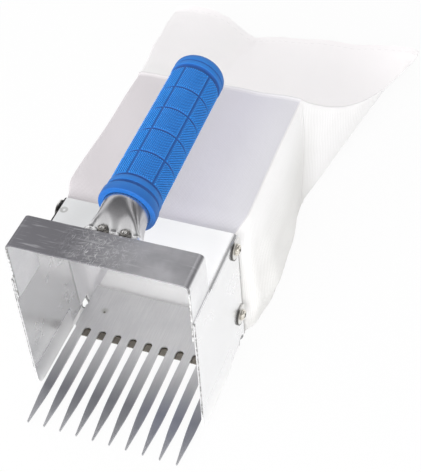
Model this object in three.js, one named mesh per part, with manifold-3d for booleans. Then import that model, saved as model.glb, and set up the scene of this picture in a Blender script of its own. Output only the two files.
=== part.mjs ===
// Berry picking rake: a folded sheet scoop with a toothed comb, a tube handle and a cloth bag.
// Millimetres, +Z up. The origin is the middle of the scoop floor's underside, on the ground.
// The comb points along -Y, the bag trails along +Y, and the rake is even about X = 0
// apart from the loose tail of the bag.
import * as THREE from 'three';
import { mergeVertices } from 'three/addons/utils/BufferGeometryUtils.js';
import Module from 'manifold-3d';

const wasm = await Module();
wasm.setup();

// Clearances shared by the pieces
const overrun = 5;
const seatGap = 0.2;
const weldTolerance = 1e-4;
const sideGap = 0.3;
const boreGap = 0.25;

// Scoop shell: one sheet folded into a floor, two cheeks and a roof
const sheet = 1.2;
const shellWidth = 120;
const shellHeight = 102;
const foldRadius = 3;
const shellBack = 12;
const floorFront = -21.7;
const roofFront = -34;
const tipRadius = 7;
const drainRadius = 3.4;
const drainPlace = 5.5;

// Hood: a band bent over the mouth of the scoop, its legs inside the cheeks
const hoodRise = 30;
const hoodFront = -60;
const hoodDepth = 25.5;
const hoodCornerRadius = 3;
const hoodFoldRadius = 4;
const hoodOverlap = 16;
const cheekLean = 9;

// Comb: a flat plate with leaf-shaped teeth
const combSheet = 1.4;
const toothCount = 10;
const toothRootWidth = 6.4;
const toothWidth = 6.9;
const toothTipWidth = 0.9;
const toothRoot = -15.2;
const toothBelly = -40;
const toothShoulder = -68.5;
const toothTip = -98.7;
const combShoulder = 1.33;
const combOverhang = 9.6;

// Handle tube: a round tube pressed flat at its front end, under the hood
const tubeRadius = 15;
const tubeWall = 1.5;
const footThickness = 3.6;
const footFront = -57;
const footFlatBack = -45;
const pressedBack = -14;
const pressedCorner = 2.2;
const pressedCornerFront = -30;
const tubeCavityFront = -42;
const handleTilt = THREE.MathUtils.degToRad(2.5);

// Grip: a moulded sleeve with a closed end
const gripFront = -13.2;
const gripLength = 129.5;
const gripRadius = 17.4;
const gripEndWall = 4;
const flangeRadius = 18.9;
const flangeLength = 6.6;
const neckRadius = 16.7;
const neckLength = 2.6;
const ringRadius = 18;
const ringLength = 4;
const panelRows = 5;
const panelsAround = 6;
const panelMargin = 1.4;
const endRingLength = 11.9;
const grooveWidth = 1.8;
const grooveDepth = 0.8;
const grooveTurn = THREE.MathUtils.degToRad(-12);
const endRingRadius = 17.9;
const endRoundRadius = 5;

// Handle rivets: two, through the pressed part of the tube
const rivetSpacing = 14.6;
const rivetPlace = -30.6;
const rivetShift = -1.2;
const rivetShankRadius = 2;
const rivetHeadRadius = 2.8;
const rivetHeadHeight = 1.8;
const rivetTailRadius = 2.9;
const rivetTailHeight = 1.2;
const rivetSeatRadius = 3.7;
const rivetSeatDepth = 1.3;

// Bag screws: two a side, with large washers outside and nuts inside
const screwPlace = 6;
const lowerScrewHeight = 30;
const leftScrewRise = 22;
const screwShankRadius = 2;
const screwHeadRadius = 3.8;
const screwHeadHeight = 2.4;
const screwTailLength = 1.5;
const washerRadius = 7.5;
const washerThickness = 1;
const nutAcrossFlats = 7;
const nutHeight = 3.1;

// Bag frame: wire rods from the screws to a hoop that holds the bag square
const wireRadius = 1.5;
const wireSides = 8;
const eyeRadius = 4.2;
const eyeThickness = 2;
const hoopPlace = 145;
const hoopCornerRadius = 5;

// Bag: cloth, square as far as the hoop and sewn flat at its tail
const cloth = 1.4;
const bagTuck = 14;
const bagSpread = 18;
const sideBulge = 14;
const hoopCover = 3;
const bagCornerRadius = 6;
const hemCornerRadius = 1.6;
const tailBack = 337;
const seamLength = 9;
const seamThickness = 3;
const seamHalfWidth = 112;
const seamShift = -3;
const groundHalfWidth = 106;
const tailSag = 6;
const ruffleHeight = 20;

const materials = {
  shell: metal(0xdfe0e1, 0.38),
  hood: metal(0x9a9a9f, 0.36),
  comb: metal(0xb4b4b8, 0.3),
  tube: metal(0xb9b9bb, 0.2),
  fastener: metal(0xc9c4b8, 0.28),
  wire: metal(0xa7a8aa, 0.4),
  grip: new THREE.MeshStandardMaterial({ color: 0x2f7fd3, roughness: 0.55, metalness: 0 }),
  cloth: new THREE.MeshStandardMaterial({ color: 0xf1eff2, roughness: 0.9, metalness: 0, side: THREE.DoubleSide }),
};

function metal(color, roughness) {
  return new THREE.MeshStandardMaterial({ color, roughness, metalness: 1 });
}

// Sizes that follow from those above
const shellHalf = shellWidth / 2;
const hoodHeight = shellHeight + hoodRise;
const webUnderside = hoodHeight - sheet;
const combHalf = shellHalf - foldRadius;
const combBack = shellBack + combOverhang;
const toothPitch = 2 * (combHalf - combShoulder - toothRootWidth / 2) / (toothCount - 1);
const outerTooth = combHalf - combShoulder;
const upperScrewHeight = shellHeight - washerRadius;
const screwHeights = {
  left: { lower: lowerScrewHeight + leftScrewRise, upper: upperScrewHeight },
  right: { lower: lowerScrewHeight, upper: upperScrewHeight },
};
const gripFrontHeight = webUnderside;
const panelFront = flangeLength + neckLength + ringLength + panelMargin;
const panelBack = gripLength - endRingLength - neckLength;

// Solids and booleans
function solidOf(geometry) {
  const bare = geometry.clone();
  bare.deleteAttribute('normal');
  bare.deleteAttribute('uv');
  const merged = mergeVertices(bare, weldTolerance);
  const vertProperties = new Float32Array(merged.attributes.position.array);
  const triVerts = new Uint32Array(merged.index.array);
  return new wasm.Manifold(new wasm.Mesh({ numProp: 3, vertProperties, triVerts }));
}

function geometryOf(solid) {
  const mesh = solid.getMesh();
  const geometry = new THREE.BufferGeometry();
  geometry.setAttribute('position', new THREE.BufferAttribute(new Float32Array(mesh.vertProperties), 3));
  geometry.setIndex(new THREE.BufferAttribute(new Uint32Array(mesh.triVerts), 1));
  geometry.computeVertexNormals();
  return geometry;
}

function joined(...geometries) {
  return geometryOf(geometries.map(solidOf).reduce((whole, piece) => whole.add(piece)));
}

function cut(geometry, ...tools) {
  return geometryOf(tools.map(solidOf).reduce((whole, tool) => whole.subtract(tool), solidOf(geometry)));
}

function common(geometry, other) {
  return geometryOf(solidOf(geometry).intersect(solidOf(other)));
}

// Outlines extruded along one axis of the rake
const across = new THREE.Matrix4().makeBasis(
  new THREE.Vector3(0, 1, 0), new THREE.Vector3(0, 0, 1), new THREE.Vector3(1, 0, 0));
const along = new THREE.Matrix4().makeBasis(
  new THREE.Vector3(1, 0, 0), new THREE.Vector3(0, 0, 1), new THREE.Vector3(0, -1, 0));

function extruded(shape, depth) {
  return new THREE.ExtrudeGeometry(shape, { depth, bevelEnabled: false, curveSegments: 5 });
}

// A plan outline (X, Y) raised from one height to another
function raised(shape, from, to) {
  return extruded(shape, to - from).translate(0, 0, from);
}

// A side outline (Y, Z) carried across the rake from one X to another
function spanned(shape, from, to) {
  return extruded(shape, to - from).applyMatrix4(across).translate(from, 0, 0);
}

// A front outline (X, Z) carried along the rake from one Y to another
function drawn(shape, from, to) {
  return extruded(shape, to - from).applyMatrix4(along).translate(0, to, 0);
}

function rectangle(x0, x1, y0, y1) {
  const shape = new THREE.Shape();
  shape.moveTo(x0, y0);
  shape.lineTo(x1, y0);
  shape.lineTo(x1, y1);
  shape.lineTo(x0, y1);
  shape.closePath();
  return shape;
}

// A rectangle whose corners, from the lower left round to the upper left, have their own radii
function roundedRectangle(x0, x1, y0, y1, radii) {
  const [lowerLeft, lowerRight, upperRight, upperLeft] = radii;
  const quarter = Math.PI / 2;
  const shape = new THREE.Shape();
  shape.moveTo(x0 + lowerLeft, y0);
  shape.lineTo(x1 - lowerRight, y0);
  if (lowerRight > 0) shape.absarc(x1 - lowerRight, y0 + lowerRight, lowerRight, -quarter, 0);
  shape.lineTo(x1, y1 - upperRight);
  if (upperRight > 0) shape.absarc(x1 - upperRight, y1 - upperRight, upperRight, 0, quarter);
  shape.lineTo(x0 + upperLeft, y1);
  if (upperLeft > 0) shape.absarc(x0 + upperLeft, y1 - upperLeft, upperLeft, quarter, 2 * quarter);
  shape.lineTo(x0, y0 + lowerLeft);
  if (lowerLeft > 0) shape.absarc(x0 + lowerLeft, y0 + lowerLeft, lowerLeft, 2 * quarter, 3 * quarter);
  return shape;
}

// A round bar or disc with its axis along X, from one X to another
function crossBar(radius, from, to, y, z, sides = 16) {
  const bar = new THREE.CylinderGeometry(radius, radius, Math.abs(to - from), sides);
  return bar.rotateZ(Math.PI / 2).translate((from + to) / 2, y, z);
}

// A round bar standing on one height and ending at another
function upright(radius, from, to, x, y, sides = 20) {
  const bar = new THREE.CylinderGeometry(radius, radius, to - from, sides);
  return bar.rotateX(Math.PI / 2).translate(x, y, (from + to) / 2);
}

// Rings of equal point counts stitched into one closed body, capped or looped back on itself.
// Each ring turns as a right-hand screw does that moves toward the next ring.
function stitched(rings, looped = false) {
  const count = rings[0].length;
  const position = rings.flat().flatMap((point) => [point.x, point.y, point.z]);
  const index = [];
  const strips = looped ? rings.length : rings.length - 1;
  for (let ring = 0; ring < strips; ring += 1) {
    const here = ring * count;
    const next = ((ring + 1) % rings.length) * count;
    for (let k = 0; k < count; k += 1) {
      const after = (k + 1) % count;
      index.push(here + k, here + after, next + after);
      index.push(here + k, next + after, next + k);
    }
  }
  if (!looped) {
    addCap(index, 0, count, true);
    addCap(index, (rings.length - 1) * count, count, false);
  }
  const geometry = new THREE.BufferGeometry();
  geometry.setAttribute('position', new THREE.Float32BufferAttribute(position, 3));
  geometry.setIndex(index);
  return geometry;
}

// A cap joins each point of a ring's first half with the one that faces it in the second half
function addCap(index, start, count, turned) {
  for (let k = 0; k < count / 2; k += 1) {
    const a = start + k;
    const b = start + k + 1;
    const c = start + ((count - k - 1) % count);
    const d = start + ((count - k) % count);
    const faces = [[a, b, c], [a, c, d]].filter(([p, q, r]) => p !== q && q !== r && p !== r);
    for (const [p, q, r] of faces) index.push(...(turned ? [r, q, p] : [p, q, r]));
  }
}

// Where the front edge of the cheeks and hood stands at a height
function mouthFront(z) {
  return hoodFront - cheekLean * (1 - z / hoodHeight);
}

// Scoop shell
function scoopShell() {
  const half = shellHalf;
  const inside = half - sheet;
  const innerFold = foldRadius - sheet;
  const topFolds = [0, 0, foldRadius, foldRadius];
  const roof = cut(
    drawn(roundedRectangle(-half, half, shellHeight - 2 * foldRadius, shellHeight, topFolds),
      roofFront, shellBack),
    drawn(roundedRectangle(-inside, inside, 0, shellHeight - sheet, [0, 0, innerFold, innerFold]),
      roofFront - overrun, shellBack + overrun));
  const floorOutline = roundedRectangle(-half, half, 0, 2 * foldRadius, [foldRadius, foldRadius, 0, 0]);
  const floor = cut(
    drawn(floorOutline, floorFront, shellBack),
    drawn(roundedRectangle(-inside, inside, sheet, shellHeight, [innerFold, innerFold, 0, 0]),
      floorFront - overrun, shellBack + overrun),
    ...[-1, 1].map((side) => floorRelief(side)));
  const cheeks = [-1, 1].map((side) => cheek(side));
  const screwHoles = screwSeats(({ side, height }) => crossBar(screwShankRadius + boreGap,
    side * (inside - overrun), side * (half + overrun), screwPlace, height));
  return cut(joined(roof, floor, ...cheeks), ...screwHoles, ...[-1, 1].map((side) => drainHole(side)));
}

// One solid for each of the four bag screws, by its side and height
function screwSeats(make) {
  return [[-1, screwHeights.left], [1, screwHeights.right]].flatMap(([side, heights]) =>
    Object.values(heights).map((height) => make({ side, height })));
}

// The gap beside the outer tooth runs into the floor's corner and ends round
function floorRelief(side) {
  const near = side * outerTooth;
  const far = side * (shellHalf + overrun);
  const round = (shellHalf - outerTooth) / 2;
  const from = Math.min(near, far);
  const to = Math.max(near, far);
  const outline = roundedRectangle(from, to, floorFront - overrun, toothRoot, [0, 0, round, round]);
  return raised(outline, -overrun, foldRadius);
}

// A hole square to the fold between the floor and a cheek
function drainHole(side) {
  const hole = new THREE.CylinderGeometry(drainRadius, drainRadius, 4 * drainRadius, 24);
  const middle = (foldRadius - sheet / 2) * Math.SQRT1_2;
  const x = side * (combHalf + middle);
  return hole.rotateX(Math.PI / 2).rotateY(-side * Math.PI / 4).translate(x, drainPlace, foldRadius - middle);
}

// One cheek: a flat outline with a leaning front edge and a rounded lower tip
function cheek(side) {
  const foldTop = shellHeight - foldRadius;
  const lean = Math.atan2(cheekLean, hoodHeight);
  const outline = new THREE.Shape();
  outline.moveTo(mouthFront(shellHeight), shellHeight);
  outline.lineTo(roofFront, shellHeight);
  outline.lineTo(roofFront, foldTop);
  outline.lineTo(shellBack, foldTop);
  outline.lineTo(shellBack, foldRadius);
  outline.lineTo(toothRoot, foldRadius);
  outline.lineTo(toothRoot, 0);
  const tipCentre = mouthFront(tipRadius) + tipRadius * Math.cos(lean) + tipRadius * Math.sin(lean) ** 2;
  outline.lineTo(tipCentre, 0);
  outline.absarc(tipCentre, tipRadius, tipRadius, -Math.PI / 2, Math.PI + lean, true);
  outline.closePath();
  const outer = side * shellHalf;
  const inner = side * (shellHalf - sheet);
  return spanned(outline, Math.min(outer, inner), Math.max(outer, inner));
}

// Hood band
function hoodBand() {
  const half = shellHalf - sheet - sideGap;
  const inside = half - sheet;
  const legFoot = shellHeight - hoodOverlap;
  const innerFold = hoodFoldRadius - sheet;
  const back = hoodFront + hoodDepth;
  const front = mouthFront(legFoot) - overrun;
  const band = cut(
    drawn(roundedRectangle(-half, half, legFoot, hoodHeight, [0, 0, hoodFoldRadius, hoodFoldRadius]),
      front, back),
    drawn(roundedRectangle(-inside, inside, legFoot - overrun, hoodHeight - sheet,
      [0, 0, innerFold, innerFold]), front - overrun, back + overrun));
  const side = new THREE.Shape();
  side.moveTo(mouthFront(legFoot - overrun), legFoot - overrun);
  side.lineTo(back + overrun, legFoot - overrun);
  side.lineTo(back + overrun, hoodHeight + overrun);
  side.lineTo(mouthFront(hoodHeight + overrun), hoodHeight + overrun);
  side.closePath();
  const plan = roundedRectangle(-half, half, front - overrun, back,
    [0, 0, hoodCornerRadius, hoodCornerRadius]);
  const leaning = common(band, spanned(side, -half - overrun, half + overrun));
  return common(leaning, raised(plan, 0, hoodHeight + overrun));
}

// Comb plate
function combPlate() {
  const half = combHalf;
  const firstTooth = -toothPitch * (toothCount - 1) / 2;
  const outline = new THREE.Shape();
  outline.moveTo(half, combBack);
  outline.lineTo(-half, combBack);
  const shoulder = combShoulder / 2;
  outline.lineTo(-half, toothRoot + shoulder);
  outline.absarc(-half + shoulder, toothRoot + shoulder, shoulder, Math.PI, 1.5 * Math.PI);
  for (let tooth = 0; tooth < toothCount; tooth += 1) {
    const centre = firstTooth + tooth * toothPitch;
    toothEdge(outline, centre);
    if (tooth < toothCount - 1) {
      const round = (toothPitch - toothRootWidth) / 2;
      outline.absarc(centre + toothPitch / 2, toothRoot - round, round, Math.PI, 0, true);
    }
  }
  outline.lineTo(half - shoulder, toothRoot);
  outline.absarc(half - shoulder, toothRoot + shoulder, shoulder, 1.5 * Math.PI, 2 * Math.PI);
  outline.closePath();
  const low = sheet + seatGap;
  const notches = [-1, 1].map((side) =>
    upright(drainRadius, 0, low + combSheet + overrun, side * (shellHalf - sheet / 2), drainPlace));
  return cut(raised(outline, low, low + combSheet), ...notches);
}

// One tooth: narrow at the root, widest at the belly, then drawn to a point
function toothEdge(outline, centre) {
  const tipRound = toothTipWidth / 2;
  const root = toothRoot - (toothPitch - toothRootWidth) / 2;
  outline.lineTo(centre - toothRootWidth / 2, root);
  outline.lineTo(centre - toothWidth / 2, toothBelly);
  outline.quadraticCurveTo(centre - toothWidth / 2, toothShoulder,
    centre - toothWidth / 2 + (toothWidth - toothTipWidth) / 6,
    toothShoulder - (toothShoulder - toothTip) / 3);
  outline.lineTo(centre - tipRound, toothTip + tipRound);
  outline.absarc(centre, toothTip + tipRound, tipRound, Math.PI, 2 * Math.PI);
  outline.lineTo(centre + toothWidth / 2 - (toothWidth - toothTipWidth) / 6,
    toothShoulder - (toothShoulder - toothTip) / 3);
  outline.quadraticCurveTo(centre + toothWidth / 2, toothShoulder,
    centre + toothWidth / 2, toothBelly);
  outline.lineTo(centre + toothRootWidth / 2, root);
}

// Handle tube: sections of one perimeter, from a flat foot to a full round
function smooth(value) {
  const t = THREE.MathUtils.clamp(value, 0, 1);
  return t * t * (3 - 2 * t);
}

// Half the height that the pressed tube has at a place along the handle
function pressedHalf(y) {
  const share = smooth((y - footFlatBack) / (pressedBack - footFlatBack));
  return THREE.MathUtils.lerp(footThickness / 2, tubeRadius, share);
}

// The corners of the pressed section are tight in front and open into the full round behind
function pressedCornerRadius(y) {
  const share = smooth((y - pressedCornerFront) / (pressedBack - pressedCornerFront));
  return Math.min(pressedHalf(y), THREE.MathUtils.lerp(pressedCorner, tubeRadius, share));
}

// The tube keeps its girth, and its underside runs straight until the foot is lifted to the hood
function tubeSection(y, inset) {
  const half = pressedHalf(y);
  const corner = pressedCornerRadius(y);
  const halfWidth = (Math.PI / 2) * (tubeRadius - corner) + 2 * corner - half;
  const axisHeight = gripFrontHeight + (y - gripFront) * Math.tan(handleTilt);
  const footTop = webUnderside - seatGap;
  const straightTop = axisHeight - tubeRadius + 2 * half;
  const middle = Math.max(footTop, straightTop) - half;
  return boxedRound(halfWidth - inset, half - inset, corner - inset, y, middle);
}

// A section with round corners, or a circle where the corner is as large as both halves
function boxedRound(halfWidth, halfHeight, corner, y, z, steps = 10) {
  const points = [];
  for (const side of [1, -1]) {
    for (let k = 0; k <= steps; k += 1) {
      const angle = -Math.PI / 2 + Math.PI * k / steps;
      const x = side * (halfWidth - corner + corner * Math.cos(angle));
      const rise = Math.sign(k - steps / 2) * (halfHeight - corner) + corner * Math.sin(angle);
      points.push(new THREE.Vector3(x, y, z + side * rise));
    }
  }
  return points;
}

function spaced(from, to, steps) {
  return Array.from({ length: steps + 1 }, (_, k) => THREE.MathUtils.lerp(from, to, k / steps));
}

// Round sections stand square to the tilted axis of the grip
function roundSection(distance, radius) {
  const turn = new THREE.Matrix4().makeRotationX(handleTilt);
  const place = new THREE.Vector3(0, gripFront, gripFrontHeight);
  return boxedRound(radius, radius, radius, distance, 0).map((point) => point.applyMatrix4(turn).add(place));
}

function pressedPlaces(front) {
  return spaced(pressedBack, front, 9);
}

// The tube's wall dips round each rivet into a cup that seats the rivet's head
function handleTube() {
  const end = gripLength - gripEndWall - seatGap;
  const outer = stitched([
    roundSection(end, tubeRadius),
    roundSection(0, tubeRadius),
    ...pressedPlaces(footFlatBack).map((y) => tubeSection(y, 0)),
    tubeSection(footFront, 0),
  ]);
  const cavity = stitched([
    roundSection(end + overrun, tubeRadius - tubeWall),
    roundSection(0, tubeRadius - tubeWall),
    ...pressedPlaces(tubeCavityFront).map((y) => tubeSection(y, tubeWall)),
  ]);
  const top = rivetSeat + tubeRadius;
  const cups = rivetPlaces.map((x) =>
    upright(rivetSeatRadius + tubeWall, rivetSeat - tubeWall, top, x, rivetPlace));
  const seats = rivetPlaces.map((x) => upright(rivetSeatRadius, rivetSeat, top, x, rivetPlace));
  const bores = rivetPlaces.map((x) => upright(rivetShankRadius + boreGap, 0, top, x, rivetPlace));
  return cut(outer, cut(cavity, ...cups), ...seats, ...bores);
}

// Handle rivets
const rivetPlaces = [-rivetSpacing / 2 + rivetShift, rivetSpacing / 2 + rivetShift];
const rivetSeat = sectionHeight(rivetPlace, Math.max) - rivetSeatDepth;
const rivetTailSeat = Math.min(...[-1, 1].map((side) =>
  sectionHeight(rivetPlace + side * rivetTailRadius, Math.min)));

function sectionHeight(y, pick) {
  return pick(...tubeSection(y, 0).map((point) => point.z));
}

function handleRivet(x) {
  const headBase = rivetSeat + seatGap;
  const tailTop = rivetTailSeat - seatGap;
  const profile = [
    new THREE.Vector2(0, tailTop - rivetTailHeight),
    new THREE.Vector2(rivetTailRadius, tailTop - rivetTailHeight),
    new THREE.Vector2(rivetTailRadius, tailTop),
    new THREE.Vector2(rivetShankRadius, tailTop),
    new THREE.Vector2(rivetShankRadius, headBase),
    ...dome(rivetHeadRadius, headBase, rivetHeadHeight),
  ];
  return new THREE.LatheGeometry(profile, 20).rotateX(Math.PI / 2).translate(x, rivetPlace, 0);
}

// A domed head's profile, from its rim to its crown
function dome(radius, base, height, steps = 4) {
  const points = [new THREE.Vector2(radius, base)];
  for (let k = 0; k <= steps; k += 1) {
    const angle = Math.PI / 2 * k / steps;
    const x = k === steps ? 0 : radius * Math.cos(angle);
    points.push(new THREE.Vector2(x, base + height * (1 + 2 * Math.sin(angle)) / 3));
  }
  return points;
}

// Grip: a turned sleeve with rows of raised panels between grooves
function handleGrip() {
  const bore = tubeRadius + boreGap;
  const ringFront = flangeLength + neckLength;
  const profile = [
    [bore, 0], [flangeRadius - grooveDepth, 0], [flangeRadius, grooveDepth],
    [flangeRadius, flangeLength - grooveDepth], [flangeRadius - grooveDepth, flangeLength],
    [neckRadius, flangeLength + grooveDepth], [neckRadius, ringFront - grooveDepth],
    [ringRadius - grooveDepth, ringFront], [ringRadius, ringFront + grooveDepth],
    [ringRadius, ringFront + ringLength - grooveDepth], [gripRadius - grooveDepth, ringFront + ringLength],
  ];
  const pitch = (panelBack - panelFront) / panelRows;
  for (let row = 0; row < panelRows; row += 1) {
    const front = panelFront + row * pitch + grooveWidth / 2;
    const back = panelFront + (row + 1) * pitch - grooveWidth / 2;
    profile.push([gripRadius - grooveDepth, front], [gripRadius, front + grooveDepth / 2]);
    profile.push([gripRadius, back - grooveDepth / 2], [gripRadius - grooveDepth, back]);
  }
  profile.push([neckRadius, panelBack + grooveWidth / 2], [neckRadius, panelBack + neckLength]);
  profile.push([endRingRadius - grooveDepth, panelBack + neckLength]);
  profile.push([endRingRadius, panelBack + neckLength + grooveDepth]);
  for (let k = 0; k <= 5; k += 1) {
    const angle = Math.PI / 2 * k / 5;
    const x = endRingRadius - endRoundRadius * (1 - Math.cos(angle));
    profile.push([x, gripLength - endRoundRadius * (1 - Math.sin(angle))]);
  }
  profile.push([0, gripLength], [0, gripLength - gripEndWall], [bore, gripLength - gripEndWall], [bore, 0]);
  const points = profile.map(([radius, distance]) => new THREE.Vector2(radius, distance));
  const grooves = Array.from({ length: panelsAround }, (_, k) => panelGroove(k));
  return cut(new THREE.LatheGeometry(points, 28), ...grooves);
}

// One groove along the panels, sunk to the depth of the grooves around the grip
function panelGroove(number) {
  const length = panelBack - panelFront;
  const depth = grooveDepth + overrun;
  const groove = new THREE.BoxGeometry(grooveWidth, length, depth);
  groove.translate(0, panelFront + length / 2, gripRadius - grooveDepth + depth / 2);
  return groove.rotateY(grooveTurn + number * 2 * Math.PI / panelsAround);
}

// Fasteners of the bag, given for one side and one height
const washerBase = shellHalf + seatGap;
const headBase = washerBase + washerThickness + seatGap;
const clothOuter = shellHalf - sheet - sideGap;
const eyeOuter = clothOuter - cloth - seatGap;
const nutOuter = eyeOuter - eyeThickness - seatGap;

function bagScrew({ side, height }) {
  const tail = nutOuter - nutHeight - screwTailLength;
  const profile = [
    new THREE.Vector2(0, tail),
    new THREE.Vector2(screwShankRadius, tail),
    new THREE.Vector2(screwShankRadius, headBase),
    ...dome(screwHeadRadius, headBase, screwHeadHeight),
  ];
  const screw = new THREE.LatheGeometry(profile, 20);
  return screw.rotateZ(-side * Math.PI / 2).translate(0, screwPlace, height);
}

function bagWasher({ side, height }) {
  const bore = screwShankRadius + boreGap;
  const profile = [[bore, 0], [washerRadius, 0], [washerRadius, washerThickness], [bore, washerThickness],
    [bore, 0]].map(([radius, distance]) => new THREE.Vector2(radius, distance + washerBase));
  return new THREE.LatheGeometry(profile, 24).rotateZ(-side * Math.PI / 2).translate(0, screwPlace, height);
}

function bagNut({ side, height }) {
  const corner = nutAcrossFlats / Math.sqrt(3);
  const outer = side * nutOuter;
  const inner = side * (nutOuter - nutHeight);
  const body = crossBar(corner, inner, outer, screwPlace, height, 6);
  const bore = crossBar(screwShankRadius + boreGap, inner - side * overrun, outer + side * overrun,
    screwPlace, height);
  return cut(body, bore);
}

// Bag frame: each rod is hammered flat round its screw and runs back to the hoop
function frameRod({ side, height }) {
  const inner = side * (eyeOuter - eyeThickness);
  const outer = side * eyeOuter;
  const start = screwPlace + eyeRadius - sideGap;
  const end = hoopPlace - wireRadius - sideGap;
  const rod = new THREE.CylinderGeometry(wireRadius, wireRadius, end - start, wireSides);
  rod.translate(side * (eyeOuter - wireRadius), (start + end) / 2, height);
  return cut(
    joined(crossBar(eyeRadius, inner, outer, screwPlace, height), rod),
    crossBar(screwShankRadius + boreGap, inner - side * overrun, outer + side * overrun,
      screwPlace, height));
}

// The hoop: a wire bent square and closed on itself
function frameHoop() {
  const x = shellHalf - cloth - sideGap - wireRadius - hoopCornerRadius;
  const low = cloth + sideGap + wireRadius + hoopCornerRadius;
  const high = shellHeight - low;
  const corners = [[x, high], [-x, high], [-x, low], [x, low]];
  const rings = corners.flatMap(([cornerX, cornerZ], corner) =>
    spaced(corner * Math.PI / 2, (corner + 1) * Math.PI / 2, 5).map((turn) => {
      const outward = new THREE.Vector3(Math.cos(turn), 0, Math.sin(turn));
      const corner = new THREE.Vector3(cornerX, hoopPlace, cornerZ);
      return wireRing(corner.addScaledVector(outward, hoopCornerRadius), outward);
    }));
  return stitched(rings, true);
}

function wireRing(centre, outward) {
  const alongHandle = new THREE.Vector3(0, 1, 0);
  return spaced(0, 2 * Math.PI, wireSides).slice(1).map((angle) => centre.clone()
    .addScaledVector(outward, wireRadius * Math.cos(angle))
    .addScaledVector(alongHandle, wireRadius * Math.sin(angle)));
}

// Bag: the width and height of its section at a place along it, as the cloth is held there
const mouthPlace = shellBack + sideGap;
const boxBack = hoopPlace + hoopCover;
const seamFront = tailBack - seamLength;
const bulgeShares = [[0, 0.6], [0.25, 1], [0.5, 0.75], [0.75, 0.35], [1, 0]];
const fillShares = [[0, 0], [0.09, 0.6], [0.27, 1], [0.5, 0.85], [1, 0.5]];
const ruffleShares = [[-1, 0.85], [-0.7, 1], [-0.5, 0.5], [-0.3, 0.02], [-0.06, 0.2], [0.12, 0.15],
  [0.35, 0.3], [0.7, 0.5], [1, 0.35]];

function bagSection(y) {
  const opened = smooth((y - mouthPlace) / bagSpread);
  const boxShare = THREE.MathUtils.clamp((y - mouthPlace) / (boxBack - mouthPlace), 0, 1);
  const tail = THREE.MathUtils.clamp((y - boxBack) / (seamFront - boxBack), 0, 1);
  const half = THREE.MathUtils.lerp(clothOuter, shellHalf, opened);
  const height = THREE.MathUtils.lerp(shellHeight - sheet - sideGap, shellHeight, opened);
  const boxCorner = THREE.MathUtils.lerp(hemCornerRadius, bagCornerRadius, opened);
  return {
    y,
    tail,
    corner: THREE.MathUtils.lerp(boxCorner, seamThickness / 6, tail),
    bulge: sideBulge * profiled(fillShares, boxShare) * (1 - tail) ** 2,
    sag: tailSag * Math.sin(Math.PI * tail),
    ground: THREE.MathUtils.lerp(half, groundHalfWidth, tail),
    right: {
      width: THREE.MathUtils.lerp(half, seamHalfWidth, tail),
      height: THREE.MathUtils.lerp(seamThickness, height, (1 - tail) ** 2),
    },
    left: {
      width: THREE.MathUtils.lerp(half, seamHalfWidth, tail ** 0.88),
      height: THREE.MathUtils.lerp(height, seamThickness, tail),
    },
  };
}

// A value read from a list of places and values, eased from one to the next
function profiled(list, place) {
  const next = Math.max(1, list.findIndex(([stop]) => stop >= place));
  const [from, low] = list[next - 1];
  const [to, high] = list[next];
  return THREE.MathUtils.lerp(low, high, smooth((place - from) / (to - from)));
}

// How high the loose tail is ruffled off the ground at a share of its half width
function ruffle(share) {
  return ruffleHeight * profiled(ruffleShares, THREE.MathUtils.clamp(share, -1, 1));
}

// A section's outline: ground edges, sides that bulge, and folds where the top panel begins
const cornerSteps = 3;
const flatSteps = 6;

function cornerArc(x, z, radius, from, to) {
  return spaced(from, to, cornerSteps).map((angle) =>
    [x + radius * Math.cos(angle), z + radius * Math.sin(angle)]);
}

function bagRing(section) {
  const { corner, sag, bulge, left, right } = section;
  const quarter = Math.PI / 2;
  const ground = section.ground + bulge * profiled(bulgeShares, 0);
  const mirrored = ([x, z]) => [-x, z];
  const inner = (list) => list.slice(1, -1);
  const side = (fold, share) => [
    THREE.MathUtils.lerp(section.ground, fold.width, share) + bulge * profiled(bulgeShares, share),
    THREE.MathUtils.lerp(corner, fold.height - corner, share),
  ];
  const lower = (from, to) => cornerArc(ground - corner, corner, corner, from, to);
  const upper = (fold, from, to) =>
    cornerArc(fold.width - corner, fold.height - corner, corner, from, to);
  const below = inner(spaced(-ground + corner, ground - corner, flatSteps + 1)).map((x) => [x, 0]);
  const above = inner(spaced(0, 1, flatSteps + 1)).map((share) => [
    THREE.MathUtils.lerp(right.width - corner, -left.width + corner, share),
    THREE.MathUtils.lerp(right.height, left.height, share) - sag * (1 - (2 * share - 1) ** 2),
  ]);
  return [
    mirrored(side(left, 0.5)), mirrored(side(left, 0.25)), ...lower(0, -quarter).map(mirrored),
    ...below, ...lower(-quarter, 0), side(right, 0.25), side(right, 0.5), side(right, 0.75),
    ...upper(right, 0, quarter), ...above, ...upper(left, quarter, 0).map(mirrored),
    mirrored(side(left, 0.75)),
  ];
}

// The outline drawn in by the cloth's thickness
function drawnIn(outline, thickness) {
  const count = outline.length;
  return outline.map(([x, z], k) => {
    const [x0, z0] = outline[(k + count - 1) % count];
    const [x1, z1] = outline[(k + 1) % count];
    const before = new THREE.Vector2(z0 - z, x - x0).normalize();
    const after = new THREE.Vector2(z - z1, x1 - x).normalize();
    const normal = before.clone().add(after).normalize();
    const mitre = thickness / Math.max(normal.dot(before), 0.5);
    return [x + normal.x * mitre, z + normal.y * mitre];
  });
}

// An outline set in its place, shifted and ruffled with the tail
function placed(outline, section) {
  const { y, tail } = section;
  return outline.map(([x, z]) => {
    const lift = tail * ruffle(x / seamHalfWidth);
    return new THREE.Vector3(x + seamShift * tail, y, z + lift);
  });
}

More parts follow.
